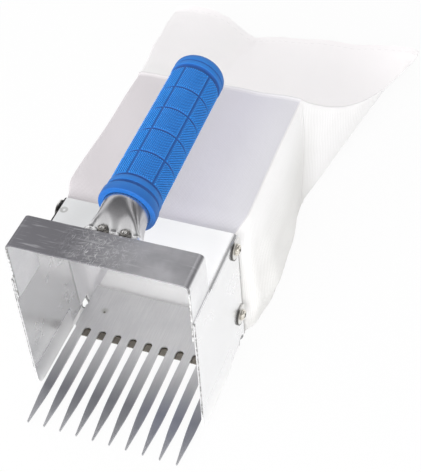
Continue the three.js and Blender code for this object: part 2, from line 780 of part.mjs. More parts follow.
function bag() {
  const start = shellBack - bagTuck;
  const boxStops = [start, ...spaced(mouthPlace, mouthPlace + bagSpread, 3),
    ...spaced(mouthPlace + bagSpread, boxBack, 6).slice(1)];
  const tailStops = spaced(boxBack, seamFront, 9).slice(1);
  const cavityStops = [...boxStops, ...tailStops.slice(0, 6)];
  const outer = [...boxStops, ...tailStops, tailBack].map(bagSection)
    .map((section) => placed(bagRing(section), section));
  const inner = cavityStops.map(bagSection)
    .map((section) => placed(drawnIn(bagRing(section), cloth), section));
  const body = stitched([...outer.reverse(), ...inner]);
  const lip = foldRadius + sideGap;
  const combRoomHalf = combHalf + sideGap;
  const scoopRoom = raised(
    rectangle(-shellWidth, shellWidth, start - overrun, mouthPlace), -overrun, lip);
  const combRoom = raised(
    rectangle(-combRoomHalf, combRoomHalf, start - overrun, combBack + sideGap), cloth, lip);
  const screwHoles = screwSeats(({ side, height }) => crossBar(screwShankRadius + boreGap,
    side * (clothOuter - cloth - overrun), side * (clothOuter + overrun), screwPlace, height));
  return cut(body, scoopRoom, combRoom, ...screwHoles);
}

// The rake, as it is put together
const rake = new THREE.Group();

function add(name, geometry, material) {
  const mesh = new THREE.Mesh(geometry, material);
  mesh.name = name;
  rake.add(mesh);
  return mesh;
}

add('scoop_shell', scoopShell(), materials.shell);
add('hood_band', hoodBand(), materials.hood);
add('comb_plate', combPlate(), materials.comb);
add('handle_tube', handleTube(), materials.tube);
const grip = add('handle_grip', handleGrip(), materials.grip);
grip.position.set(0, gripFront, gripFrontHeight);
grip.rotation.x = handleTilt;
for (const [sideName, side] of [['left', -1], ['right', 1]]) {
  add(`handle_rivet_${sideName}`, handleRivet(side * rivetSpacing / 2 + rivetShift), materials.fastener);
  for (const [heightName, height] of Object.entries(screwHeights[sideName])) {
    const place = `${heightName}_${sideName}`;
    add(`bag_screw_${place}`, bagScrew({ side, height }), materials.fastener);
    add(`bag_washer_${place}`, bagWasher({ side, height }), materials.fastener);
    add(`bag_nut_${place}`, bagNut({ side, height }), materials.fastener);
    add(`bag_frame_rod_${place}`, frameRod({ side, height }), materials.wire);
  }
}
add('bag_frame_hoop', frameHoop(), materials.wire);
add('bag', bag(), materials.cloth);

export default rake;
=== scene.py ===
import math

import bmesh
import bpy
from mathutils import Matrix, Vector, noise


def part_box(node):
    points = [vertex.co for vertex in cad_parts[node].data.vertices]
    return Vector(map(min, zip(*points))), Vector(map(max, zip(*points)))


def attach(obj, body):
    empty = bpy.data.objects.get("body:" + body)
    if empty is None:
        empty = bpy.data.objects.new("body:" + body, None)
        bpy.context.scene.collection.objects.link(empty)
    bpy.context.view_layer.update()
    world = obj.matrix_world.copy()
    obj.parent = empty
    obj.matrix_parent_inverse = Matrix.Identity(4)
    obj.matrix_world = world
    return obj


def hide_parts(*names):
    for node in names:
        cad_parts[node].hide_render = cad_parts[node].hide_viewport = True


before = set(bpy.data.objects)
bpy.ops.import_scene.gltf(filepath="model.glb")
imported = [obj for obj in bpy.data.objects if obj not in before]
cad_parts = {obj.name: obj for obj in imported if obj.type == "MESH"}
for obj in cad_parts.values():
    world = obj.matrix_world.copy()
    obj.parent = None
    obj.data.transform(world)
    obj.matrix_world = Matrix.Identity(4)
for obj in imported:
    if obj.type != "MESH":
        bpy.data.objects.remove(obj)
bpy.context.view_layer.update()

# Camera: held above the right front of the mouth and looking back along the handle,
# with a short telephoto lens, as the rake was photographed.
bpy.ops.object.camera_add(location=(0.226373, -0.391084, 0.564718), rotation=(0.753558, 0.072955, 0.351806))
camera = bpy.context.object
camera.name = "photo_camera"
camera.data.lens = 78.2946
camera.data.clip_start = 0.01
bpy.context.scene.camera = camera


# Studio: a plain pale table top that runs on as the background, an even white room, and three large soft
# lamps. The strong one in front shines into the mouth, and the weak ones lift the faces at either side.
def linear(colour):
    """An sRGB hex colour as the linear numbers that a shader takes."""
    shares = [int(colour[k:k + 2], 16) / 255 for k in (1, 3, 5)]
    return tuple(s / 12.92 if s <= 0.04045 else ((s + 0.055) / 1.055) ** 2.4 for s in shares) + (1,)


def add(owner, kind, inputs=(), **settings):
    """One node with its settings, its values, and its links from other nodes' outputs."""
    made = owner.node_tree.nodes.new(kind)
    for name, value in settings.items():
        setattr(made, name, value)
    for socket, value in dict(inputs).items():
        if isinstance(value, bpy.types.NodeSocket):
            owner.node_tree.links.new(value, made.inputs[socket])
        else:
            made.inputs[socket].default_value = value
    return made


def blank(name):
    """A material with an empty node tree."""
    made = bpy.data.materials.new(name)
    made.use_nodes = True
    made.node_tree.nodes.clear()
    return made


def seen_straight(owner):
    """1 for a ray that shows the background itself: straight, mirrored or passed through."""
    path = add(owner, "ShaderNodeLightPath").outputs
    mirrored = add(owner, "ShaderNodeMath", {0: path["Is Camera Ray"], 1: path["Is Glossy Ray"]},
                   operation="MAXIMUM").outputs[0]
    return add(owner, "ShaderNodeMath", {0: mirrored, 1: path["Is Transmission Ray"]},
               operation="MAXIMUM").outputs[0]


ROOM_LEVEL = 0.89
TABLE_SIZE = 8
TABLE_GAP = 0.0004
PLAIN_SHARE = 0.94
bpy.context.scene.view_settings.view_transform = "Standard"
world = bpy.data.worlds.new("white_room")
world.use_nodes = True
world.node_tree.nodes.clear()
bpy.context.scene.world = world
level = add(world, "ShaderNodeMapRange", {"Value": seen_straight(world), "To Min": ROOM_LEVEL,
                                          "To Max": 1.0})
room = add(world, "ShaderNodeBackground", {"Color": linear("#FFFFFF"), "Strength": level.outputs[0]})
add(world, "ShaderNodeOutputWorld", {"Surface": room.outputs[0]})

# White paper: the eye sees most of it as plain white, and the small rest keeps the rake's soft shadow.
bpy.ops.object.select_all(action="DESELECT")
bpy.ops.mesh.primitive_plane_add(size=TABLE_SIZE, location=(0, 0, -TABLE_GAP))
table = bpy.context.object
table.name = "table_top"
table_paper = blank("white_table_paper")
paper = add(table_paper, "ShaderNodeBsdfDiffuse", {"Color": linear("#DEDEDE")})
plain = add(table_paper, "ShaderNodeEmission", {"Color": linear("#FFFFFF"), "Strength": 1.0})
faded = add(table_paper, "ShaderNodeMath", {0: seen_straight(table_paper), 1: PLAIN_SHARE},
            operation="MULTIPLY")
sheet_of_paper = add(table_paper, "ShaderNodeMixShader", {0: faded.outputs[0], 1: paper.outputs[0],
                                                          2: plain.outputs[0]})
add(table_paper, "ShaderNodeOutputMaterial", {"Surface": sheet_of_paper.outputs[0]})
table.data.materials.append(table_paper)


def lamp(name, place, aim, size, power, mirrored=True):
    """A soft square lamp at a place, turned to what it lights. Metal mirrors it unless told not to."""
    bpy.ops.object.light_add(type="AREA", location=place)
    made = bpy.context.object
    made.name = name
    made.data.size = size
    made.data.energy = power
    made.rotation_euler = (Vector(aim) - Vector(place)).to_track_quat("-Z", "Y").to_euler()
    made.visible_glossy = mirrored


lamp("soft_lamp_right", (1.5, -0.5, 0.62), (0, 0.06, 0.05), size=1.1, power=2.0)
lamp("soft_lamp_left", (-1.3, 0.35, 0.55), (0, 0.12, 0.1), size=1.0, power=2.6, mirrored=False)
lamp("soft_lamp_front", (-0.1, -1.30, 0.46), (0, 0.02, 0.04), size=1.0, power=27, mirrored=False)


# Cards: only polished metal sees them, as the dark edges of the studio that draw its folds.
def card(name, place, aim, size, colour):
    """A flat card at a place, turned to what sees it, of a width and height in metres."""
    bpy.ops.object.select_all(action="DESELECT")
    bpy.ops.mesh.primitive_plane_add(size=1, location=place)
    made = bpy.context.object
    made.name = name
    made.scale = (*size, 1)
    made.rotation_euler = (Vector(aim) - Vector(place)).to_track_quat("Z", "Y").to_euler()
    made.visible_camera = made.visible_diffuse = made.visible_shadow = made.visible_transmission = False
    face = blank(name + "_paper")
    tone = add(face, "ShaderNodeEmission", {"Color": linear(colour), "Strength": 1.0})
    add(face, "ShaderNodeOutputMaterial", {"Surface": tone.outputs[0]})
    made.data.materials.append(face)


card("dark_card_left", (-0.62, 0.42, 0.06), (-0.06, 0, 0.102), (0.9, 0.34), "#262626")
card("grey_card_right", (0.64, 0.46, 0.40), (0.06, 0, 0.102), (0.8, 0.70), "#7A7A7C")
card("dark_card_above", (-0.30, 0.66, 0.98), (0, -0.03, 0.13), (0.50, 0.36), "#3A3A3C")
card("dark_card_over_handle", (-0.36, -0.80, 0.75), (-0.36, -0.80, 0), (0.78, 1.70), "#68686A")
card("dark_card_upper_right", (0.52, -0.25, 0.75), (0.52, -0.25, 0), (0.60, 0.90), "#48484A")


# Scoop shell: one sheet of bright rolled steel folded into a floor, two cheeks and a roof over a former.
# Its mouth leans, its folds are round, and spot welds and handling have dented it a little.
def none_selected():
    """Back in object mode, with nothing selected."""
    if bpy.context.mode != "OBJECT":
        bpy.ops.object.mode_set(mode="OBJECT")
    bpy.ops.object.select_all(action="DESELECT")


def only(piece):
    """This piece alone is selected and active."""
    none_selected()
    piece.select_set(True)
    bpy.context.view_layer.objects.active = piece


def pick(piece, kind, test):
    """In edit mode, selects the piece's VERT, EDGE or FACE items whose middle passes a test."""
    only(piece)
    bpy.ops.object.mode_set(mode="EDIT")
    bpy.ops.mesh.select_mode(type=kind)
    bpy.ops.mesh.select_all(action="DESELECT")
    shape = bmesh.from_edit_mesh(piece.data)
    for item in {"VERT": shape.verts, "EDGE": shape.edges, "FACE": shape.faces}[kind]:
        corners = [item] if kind == "VERT" else item.verts
        middle = sum((v.co for v in corners), Vector()) / len(corners)
        item.select_set(bool(test(middle)))
    shape.select_flush_mode()
    bmesh.update_edit_mesh(piece.data)


def scored(piece, axis, places, test=lambda middle: True):
    """Cuts the chosen faces through by planes square to an axis, and keeps both sides."""
    normal = [float(axis == name) for name in "xyz"]
    for place in places:
        pick(piece, "FACE", test)
        bpy.ops.mesh.bisect(plane_co=[place * n for n in normal], plane_no=normal)


def sawn_off(piece, point, outwards):
    """Everything outside a plane goes."""
    pick(piece, "FACE", lambda middle: True)
    bpy.ops.mesh.bisect(plane_co=point, plane_no=outwards, clear_outer=True)


def removed(piece, kind, test):
    """Takes out the items whose middle passes a test."""
    pick(piece, kind, test)
    bpy.ops.mesh.delete(type=kind)


def scrapped(piece):
    """A drill or a pattern has done its work."""
    bpy.data.objects.remove(piece, do_unlink=True)


def boxed(name, low, high):
    """A plain block from its lowest to its highest corner."""
    none_selected()
    bpy.ops.mesh.primitive_cube_add(size=1, location=[(a + b) / 2 for a, b in zip(low, high)],
                                    scale=[b - a for a, b in zip(low, high)])
    made = bpy.context.object
    made.name = made.data.name = name
    bpy.ops.object.transform_apply(location=True, rotation=True, scale=True)
    return made


def modified(piece, kind, **settings):
    """A modifier with these settings, applied at once."""
    only(piece)
    made = piece.modifiers.new(kind.lower(), kind)
    for name, value in settings.items():
        setattr(made, name, value)
    bpy.ops.object.modifier_apply(modifier=made.name)


def walled(piece, wall):
    """The skin gets a wall of this thickness on its inner side."""
    pick(piece, "FACE", lambda middle: True)
    bpy.ops.mesh.normals_make_consistent(inside=False)
    modified(piece, "SOLIDIFY", thickness=wall, offset=-1, use_even_offset=True)


def softened(piece, width):
    """Sharp edges get a fine round, and big flat faces keep their own normals beside it."""
    modified(piece, "BEVEL", width=width, segments=2, limit_method="ANGLE", angle_limit=math.radians(45),
             use_clamp_overlap=True)
    bpy.ops.object.shade_smooth_by_angle(angle=math.radians(35))
    modified(piece, "WEIGHTED_NORMAL", keep_sharp=True)


def own(piece, slot, *nodes):
    """The finished piece rides on the rake and stands for its CAD nodes. Its slot is not used."""
    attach(piece, "root")
    if nodes:
        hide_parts(*nodes)


def steps_from(start, stop, step):
    """Even places between two others, about one step apart, without the two."""
    count = max(1, round((stop - start) / step))
    return [start + (stop - start) * k / count for k in range(1, count)]


def finely_scored(piece, spot, axes="xyz"):
    """A fine grid of cuts round a spot, so that a dent or a raised weld has points to move."""
    for axis in axes:
        middle = spot["xyz".index(axis)]
        scored(piece, axis, [middle + FINE_GRID * k for k in range(-4, 5)],
               lambda c: (c - Vector(spot)).length < FINE_REACH)


def rumpled(piece, height, length, dents):
    """The sheet is never quite flat: soft waves, and small dents given as place, depth and reach."""
    none_selected()
    normals = [v.normal.copy() for v in piece.data.vertices]
    for v, normal in zip(piece.data.vertices, normals):
        shift = noise.noise(v.co / length) * height
        for place, depth, reach in dents:
            gap = (v.co - Vector(place)).length
            shift -= depth * math.exp(-(gap / reach) ** 2)
        v.co += normal * shift


SHEET = 0.0012
SHELL_HALF = 0.060
SHELL_TOP = 0.102
SHELL_BACK = 0.012
FOLD = 0.003
BEND_SEGMENTS = 8
TOOTH_ROOT = -0.0152
FLOOR_FRONT = -0.0217
ROOF_FRONT = -0.034
OUTER_TOOTH = 0.05567
MOUTH_FRONT = -0.069
MOUTH_FOOT = Vector((0, MOUTH_FRONT, 0))
MOUTH_LEAN = Vector((0, -0.132, 0.009)).normalized()
TIP_RADIUS = 0.007
TIP_SETBACK = 0.0075
TIP_CUTS = 10
GRID = 0.005
FINE_GRID = 0.0011
FINE_REACH = 0.008
BLANK_FRONT = -0.080
SLICE = 0.001
TOUCH = 1e-5
SHEET_ROUND = 0.00018
shell = boxed("folded_scoop_shell", (-SHELL_HALF, BLANK_FRONT, 0), (SHELL_HALF, SHELL_BACK, SHELL_TOP))
removed(shell, "FACE", lambda c: c.y < BLANK_FRONT + SLICE or c.y > SHELL_BACK - SLICE)
pick(shell, "EDGE", lambda c: abs(abs(c.x) - SHELL_HALF) < TOUCH and min(c.z, SHELL_TOP - c.z) < TOUCH)
bpy.ops.mesh.bevel(offset=FOLD, segments=BEND_SEGMENTS, affect="EDGES")
scored(shell, "y", (TOOTH_ROOT, FLOOR_FRONT, ROOF_FRONT))
scored(shell, "x", (-OUTER_TOOTH, OUTER_TOOTH), lambda c: c.z < SLICE)
removed(shell, "FACE", lambda c: c.z < TOUCH and c.y < FLOOR_FRONT)
removed(shell, "FACE", lambda c: c.z < FOLD - TOUCH and c.y < TOOTH_ROOT and abs(c.x) > OUTER_TOOTH)
removed(shell, "FACE", lambda c: c.z > SHELL_TOP - FOLD and c.y < ROOF_FRONT)
for cut_height, new_height, back in ((FOLD, 0, TOOTH_ROOT), (SHELL_TOP - FOLD, SHELL_TOP, ROOF_FRONT)):
    pick(shell, "EDGE", lambda c: (abs(c.z - cut_height) < TOUCH and c.y < back
                                   and abs(c.x) > SHELL_HALF - 10 * TOUCH))
    bpy.ops.mesh.extrude_edges_move(TRANSFORM_OT_translate={"value": (0, 0, new_height - cut_height)})
sawn_off(shell, MOUTH_FOOT, MOUTH_LEAN)
tip_middle = Vector((0, MOUTH_FRONT + TIP_SETBACK, TIP_RADIUS))
for k in range(1, TIP_CUTS):
    angle = math.pi / 2 * k / TIP_CUTS
    outwards = Vector((0, -math.cos(angle), -math.sin(angle)))
    sawn_off(shell, tip_middle + TIP_RADIUS * outwards, outwards)
scored(shell, "y", steps_from(MOUTH_FRONT, SHELL_BACK, GRID))
scored(shell, "z", steps_from(FOLD, SHELL_TOP - FOLD, GRID))
scored(shell, "x", steps_from(FOLD - SHELL_HALF, SHELL_HALF - FOLD, GRID))
SPOT_WELDS = [((-0.0546, 0.0014, SHELL_TOP), 0.0005, 0.0022),
              ((-SHELL_HALF, 0.0027, 0.0368), -0.0005, 0.0022)]
for weld, _, _ in SPOT_WELDS:
    finely_scored(shell, weld)
rumpled(shell, height=0.00018, length=0.034, dents=SPOT_WELDS)
walled(shell, SHEET)


def bored(piece, radius, start, stop):
    """A round hole from one point to another."""
    none_selected()
    run = stop - start
    bpy.ops.mesh.primitive_cylinder_add(vertices=32, radius=radius, depth=run.length,
                                        location=(start + stop) / 2,
                                        rotation=run.to_track_quat("Z", "Y").to_euler())
    drill = bpy.context.object
    modified(piece, "BOOLEAN", operation="DIFFERENCE", object=drill)
    scrapped(drill)


DRAIN_RADIUS = 0.0036
DRAINS = [Vector((side * 0.0589, 0.0044, 0.0030)) for side in (-1, 1)]
DRILL_RUN = 0.006
for corner in DRAINS:
    outwards = Vector((math.copysign(DRILL_RUN, corner.x), 0, -DRILL_RUN))
    bored(shell, DRAIN_RADIUS, corner - outwards, corner + outwards)
softened(shell, SHEET_ROUND)


def measured(owner, place):
    """A place's x, y and z, and its distance from the middle plane of the rake."""
    parts = add(owner, "ShaderNodeSeparateXYZ", {0: place}).outputs
    return parts, add(owner, "ShaderNodeMath", {0: parts[0]}, operation="ABSOLUTE").outputs[0]


def near_place(owner, place, centre, inner, outer):
    """1 within the inner distance of a point, in metres, fading to 0 at the outer."""
    gap = add(owner, "ShaderNodeVectorMath", {0: place, 1: centre}, operation="DISTANCE")
    return add(owner, "ShaderNodeMapRange", {"Value": gap.outputs["Value"], "From Min": inner,
                                             "From Max": outer, "To Min": 1.0, "To Max": 0.0}).outputs[0]


def within(owner, value, start, stop):
    """0 at the start and before it, 1 at the stop and beyond it, evenly between them."""
    return add(owner, "ShaderNodeMapRange", {"Value": value, "From Min": start, "From Max": stop}).outputs[0]


def times(owner, *masks):
    """Masks and shares multiplied."""
    product = masks[0]
    for mask in masks[1:]:
        product = add(owner, "ShaderNodeMath", {0: product, 1: mask}, operation="MULTIPLY").outputs[0]
    return product


def tinted(owner, share, under, over):
    """A colour laid over another by a share."""
    values = {0: share, 6: under, 7: over if isinstance(over, bpy.types.NodeSocket) else linear(over)}
    return add(owner, "ShaderNodeMix", values, data_type="RGBA").outputs[2]


def graded(ramp, *stops):
    """The colour output of a ramp that has these linear colours at these places."""
    elements = ramp.color_ramp.elements
    for k, (stop, colour) in enumerate(stops):
        tone = elements[k] if k < 2 else elements.new(stop)
        tone.position = stop
        tone.color = colour
    return ramp.outputs[0]


def sheet_metal(name, colour, dark, roughness, grain_along=(9, 260, 260), smear=0.12, relief=0.00002,
                metallic=1.0, marks=None, matt=None):
    """Rolled or drawn metal: grain along one way, and soft clouds of smears about 25 mm wide. The real
    grain is too fine to show, so on sheet its lines are drawn 0.6 mm wide and 18 mm long."""
    made = blank(name)
    place = add(made, "ShaderNodeTexCoord").outputs["Object"]
    lines = add(made, "ShaderNodeMapping", {"Vector": place, "Scale": grain_along})
    grain = add(made, "ShaderNodeTexNoise", {"Vector": lines.outputs[0], "Scale": 6, "Detail": 5,
                                             "Roughness": 0.6})
    clouds = add(made, "ShaderNodeTexNoise", {"Vector": place, "Scale": 38, "Detail": 6, "Roughness": 0.62})
    mixed = add(made, "ShaderNodeMath", {0: grain.outputs[0], 1: clouds.outputs[0]}, operation="MULTIPLY")
    finish = graded(add(made, "ShaderNodeValToRGB", {0: mixed.outputs[0]}),
                    (0.14, linear(dark)), (0.34, linear(colour)))
    if marks:
        finish = marks(made, place, finish)
    rough = add(made, "ShaderNodeMapRange", {"Value": clouds.outputs[0], "From Min": 0.3, "From Max": 0.7,
                                             "To Min": roughness, "To Max": roughness + smear}).outputs[0]
    if matt:
        share = matt(made, place)
        rough = add(made, "ShaderNodeMix", {0: share, 2: rough, 3: 0.66}).outputs[0]
        metallic = add(made, "ShaderNodeMix", {0: share, 2: metallic, 3: 0.12}).outputs[0]
    bumps = add(made, "ShaderNodeBump", {"Height": grain.outputs[0], "Strength": 0.35, "Distance": relief})
    metal = add(made, "ShaderNodeBsdfPrincipled", {"Base Color": finish, "Metallic": metallic,
                                                   "Roughness": rough, "Normal": bumps.outputs[0]})
    add(made, "ShaderNodeOutputMaterial", {"Surface": metal.outputs[0]})
    return made


def sheared_front(owner, place, finish):
    """The cut edge round the mouth is duller than the faces, and nicked."""
    ahead = add(owner, "ShaderNodeVectorMath", {0: place, 1: MOUTH_LEAN},
                operation="DOT_PRODUCT").outputs["Value"]
    cut = MOUTH_FOOT.dot(MOUTH_LEAN)
    nicks = add(owner, "ShaderNodeTexNoise", {"Vector": place, "Scale": 420, "Detail": 3})
    share = add(owner, "ShaderNodeMapRange", {"Value": nicks.outputs[0], "From Min": 0.40, "From Max": 0.62,
                                              "To Min": 0.35, "To Max": 1.0}).outputs[0]
    edge = within(owner, ahead, cut - 0.0011, cut - 0.0003)
    return tinted(owner, times(owner, edge, share), finish, "#7C7C7B")


def low_fold(owner, parts, flank):
    """1 along the lowest fold of the cheeks, fading up their inner faces in front of the floor."""
    cheek = within(owner, flank, 0.0562, 0.0568)
    ahead = times(owner, within(owner, parts[1], TOOTH_ROOT + 0.001, TOOTH_ROOT - 0.001),
                  within(owner, parts[2], 0.0200, 0.0010), cheek)
    behind = times(owner, within(owner, parts[2], 0.0044, 0.0036), cheek)
    return add(owner, "ShaderNodeMath", {0: ahead, 1: behind}, operation="MAXIMUM").outputs[0]


def roof_outside(owner, parts, flank):
    """1 on the outer face of the roof, between its folds."""
    return times(owner, within(owner, parts[2], SHELL_TOP - 0.0008, SHELL_TOP - 0.0004),
                 within(owner, flank, SHELL_HALF - 0.0022, SHELL_HALF - FOLD))


def shell_marks(owner, place, finish):
    """A paler roof with painted shade darker to the left, painted highlights white along the low folds,
    painted shade inside, shade and dirt under the comb's slots with painted shade at their front, a dark
    ring round the drain holes, a dark band on the cheeks at the back edge, painted reflections dark and
    light on the roof's folds, and the rings of the spot welds."""
    finish = sheared_front(owner, place, finish)
    parts, flank = measured(owner, place)
    # Painted shade: the roof's outside is painted darker towards the left.
    roof_painted_shade = tinted(owner, within(owner, parts[0], -0.030, 0.0), linear("#D5D6D7"), "#FAFAFB")
    finish = tinted(owner, times(owner, roof_outside(owner, parts, flank), 0.9), finish, roof_painted_shade)
    # Painted shade: the inside of the shell is painted a little greyer than the outside.
    inner = times(owner, within(owner, flank, SHELL_HALF - 0.0004, SHELL_HALF - 0.0008),
                  within(owner, parts[2], SHELL_TOP - 0.0008, SHELL_TOP - 0.0016))
    finish = tinted(owner, inner, finish, "#E4E4E5")
    # Painted highlight: the low folds and the cheeks' inner faces in front of the floor are painted white,
    # standing in for the bright light they mirror.
    finish = tinted(owner, low_fold(owner, parts, flank), finish, "#FFFFFF")
    # Painted shade and dirt: the floor seen through the comb's slots is painted dark brown.
    shade_and_dirt_under_slots = times(owner, within(owner, parts[1], -0.0125, -0.0145),
                        within(owner, parts[2], 0.003, 0.002), within(owner, flank, 0.0572, 0.0566))
    finish = tinted(owner, shade_and_dirt_under_slots, finish, "#7D7870")
    # Painted shade: that strip is darker still at its front, in the slot ends.
    painted_shade_at_slot_ends = times(owner, within(owner, parts[1], -0.0172, -0.0160), shade_and_dirt_under_slots)
    finish = tinted(owner, painted_shade_at_slot_ends, finish, "#4A443C")
    # A dark band on the cheeks' outer faces along their back edge.
    dark_back_edge_band = times(owner, within(owner, parts[1], SHELL_BACK - 0.0012, SHELL_BACK - 0.0007),
                         within(owner, flank, 0.0588, 0.0592), within(owner, parts[2], 0.0985, 0.0975))
    finish = tinted(owner, dark_back_edge_band, finish, "#6A6A69")
    # A dark ring round each drain hole.
    for corner in DRAINS:
        rim = near_place(owner, place, corner, DRAIN_RADIUS + 0.0008, DRAIN_RADIUS + 0.0012)
        finish = tinted(owner, times(owner, rim, 0.8), finish, "#4E4E50")
    # Painted reflection: the left roof fold is painted near black and the right one pale, where they would
    # mirror the dark and light studio.
    roof_fold = times(owner, within(owner, flank, 0.0573, 0.0579), within(owner, parts[2], 0.0990, 0.0996),
                      within(owner, parts[1], ROOF_FRONT, ROOF_FRONT + 0.0006))
    painted_fold_reflections = tinted(owner, within(owner, parts[0], -0.001, 0.001), linear("#1E1E20"), "#E4E4E5")
    finish = tinted(owner, roof_fold, finish, painted_fold_reflections)
    for weld, _, _ in SPOT_WELDS:
        middle = near_place(owner, place, weld, 0.0006, 0.002)
        ring = times(owner, near_place(owner, place, weld, 0.0024, 0.003), within(owner, middle, 0.9, 0.5))
        finish = tinted(owner, times(owner, ring, 0.45), finish, "#77756F")
    return finish


def shell_matt(owner, place):
    """The outside of the roof and the low folds are dull, and the rest keeps the shine of the rolls."""
    parts, flank = measured(owner, place)
    return add(owner, "ShaderNodeMath", {0: roof_outside(owner, parts, flank),
                                         1: low_fold(owner, parts, flank)}, operation="MAXIMUM").outputs[0]


# Bright rolled steel: nearly white, with a soft shine that blurs what it mirrors.
shell.data.materials.append(sheet_metal("bright_rolled_steel_sheet", "#F6F6F7", "#EEEEEF", 0.20, smear=0.10,
                                        metallic=0.72, marks=shell_marks, matt=shell_matt))
own(shell, "shell", "scoop_shell")


# Hood band: a strip of the same sheet, duller and scuffed on its web, bent over the mouth with its legs
# inside the cheeks, where spot welds hold them.
HOOD_HALF = 0.0585
HOOD_TOP = 0.132
HOOD_BACK = -0.0345
HOOD_LOW = 0.086
HOOD_BEND = 0.004
HOOD_FRONT = -0.063
HOOD_GRID = 0.004
hood = boxed("bent_hood_band", (-HOOD_HALF, BLANK_FRONT, HOOD_LOW), (HOOD_HALF, HOOD_BACK, HOOD_TOP))
removed(hood, "FACE", lambda c: (c.y < BLANK_FRONT + SLICE or c.y > HOOD_BACK - SLICE
                                 or c.z < HOOD_LOW + SLICE))
pick(hood, "EDGE", lambda c: abs(abs(c.x) - HOOD_HALF) < TOUCH and c.z > HOOD_TOP - TOUCH)
bpy.ops.mesh.bevel(offset=HOOD_BEND, segments=BEND_SEGMENTS, affect="EDGES")
sawn_off(hood, MOUTH_FOOT, MOUTH_LEAN)
scored(hood, "y", steps_from(HOOD_FRONT, HOOD_BACK, HOOD_GRID))
scored(hood, "z", steps_from(HOOD_LOW, HOOD_TOP - HOOD_BEND, HOOD_GRID))
scored(hood, "x", steps_from(HOOD_BEND - HOOD_HALF, HOOD_HALF - HOOD_BEND, HOOD_GRID))
HOOD_WELD = ((-HOOD_HALF, -0.0523, 0.1003), -0.0004, 0.0022)
finely_scored(hood, HOOD_WELD[0], "yz")
rumpled(hood, height=0.00016, length=0.03, dents=[HOOD_WELD])
walled(hood, SHEET)
softened(hood, SHEET_ROUND)


def hood_marks(owner, place, finish):
    """The web has painted shade, darker on the left and by its right fold, is blotched and streaked, and is
    scratched crosswise over the handle's foot. A scratch is 5.5 mm long and 0.5 mm wide."""
    finish = sheared_front(owner, place, finish)
    parts = add(owner, "ShaderNodeSeparateXYZ", {0: place}).outputs
    web = within(owner, parts[2], 0.1292, 0.1308)
    # Painted shade across the web: darker on the left, lighter to the right, and darker again by the right
    # fold.
    across = add(owner, "ShaderNodeValToRGB", {0: within(owner, parts[0], -SHELL_HALF, SHELL_HALF)})
    web_painted_shade = graded(across, (0.0, linear("#7A797E")), (0.33, linear("#7C7B80")), (0.62, linear("#AEADB1")),
                   (0.86, linear("#C5C4C8")), (0.975, linear("#A5A4A8")))
    clouds = add(owner, "ShaderNodeTexNoise", {"Vector": place, "Scale": 60, "Detail": 5})
    blotches = times(owner, within(owner, clouds.outputs[0], 0.42, 0.78), 0.5)
    web_shade_and_scuffs = tinted(owner, blotches, web_painted_shade, "#77767B")
    scratched_area = near_place(owner, place, (-0.002, -0.047, HOOD_TOP), 0.008, 0.030)
    for turn, share in ((0.25, 0.7), (-0.9, 0.5), (1.35, 0.65), (0.7, 0.4)):
        laid = add(owner, "ShaderNodeMapping", {"Vector": place, "Rotation": (0, 0, turn),
                                                "Scale": (0.0055, 0.0005, 0.0055)}, vector_type="TEXTURE")
        lines = add(owner, "ShaderNodeTexNoise", {"Vector": laid.outputs[0], "Scale": 1, "Detail": 0})
        scratch = times(owner, within(owner, lines.outputs[0], 0.70, 0.74), scratched_area)
        web_shade_and_scuffs = tinted(owner, times(owner, scratch, share), web_shade_and_scuffs, "#EDEDF0")
    streaks = add(owner, "ShaderNodeMapping", {"Vector": place, "Scale": (60, 700, 60)})
    run = add(owner, "ShaderNodeTexNoise", {"Vector": streaks.outputs[0], "Scale": 1, "Detail": 3})
    web_shade_and_scuffs = tinted(owner, times(owner, within(owner, run.outputs[0], 0.56, 0.74), 0.5), web_shade_and_scuffs, "#C9C9CC")
    return tinted(owner, web, finish, web_shade_and_scuffs)


def hood_matt(owner, place):
    """The legs are dull outside, and about a third as dull inside the mouth."""
    parts, flank = measured(owner, place)
    outside = add(owner, "ShaderNodeMapRange", {"Value": flank, "From Min": 0.0577, "From Max": 0.0581,
                                                "To Min": 0.35, "To Max": 1.0}).outputs[0]
    return times(owner, within(owner, parts[2], 0.128, 0.122), outside)


# Scuffed strip: painted shade greys the web, and handling has left it with blurred reflections.
hood.data.materials.append(sheet_metal("scuffed_steel_strip_painted_shade", "#F6F6F7", "#E4E4E6", 0.3, metallic=0.75,
                                       marks=hood_marks, matt=hood_matt))
own(hood, "hood", "hood_band")


# Comb plate: laser cut from thicker cold rolled steel, satin grey, its ten teeth drawn to points and spot
# welded to the floor of the shell. Painted shade darkens the teeth towards their tips.
def merged_copy(node, name):
    """A new piece with the CAD node's shape, its loose triangles joined into whole faces."""
    made = bpy.data.objects.new(name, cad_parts[node].data.copy())
    made.data.name = name
    made.data.materials.clear()
    bpy.context.collection.objects.link(made)
    pick(made, "VERT", lambda middle: True)
    bpy.ops.mesh.remove_doubles(threshold=2e-6)
    bpy.ops.mesh.dissolve_limited(angle_limit=math.radians(0.6))
    bpy.ops.object.mode_set(mode="OBJECT")
    return made


COMB_TOP = 0.0028
COMB_ROUND = 0.00022
comb = merged_copy("comb_plate", "toothed_comb_plate")
softened(comb, COMB_ROUND)


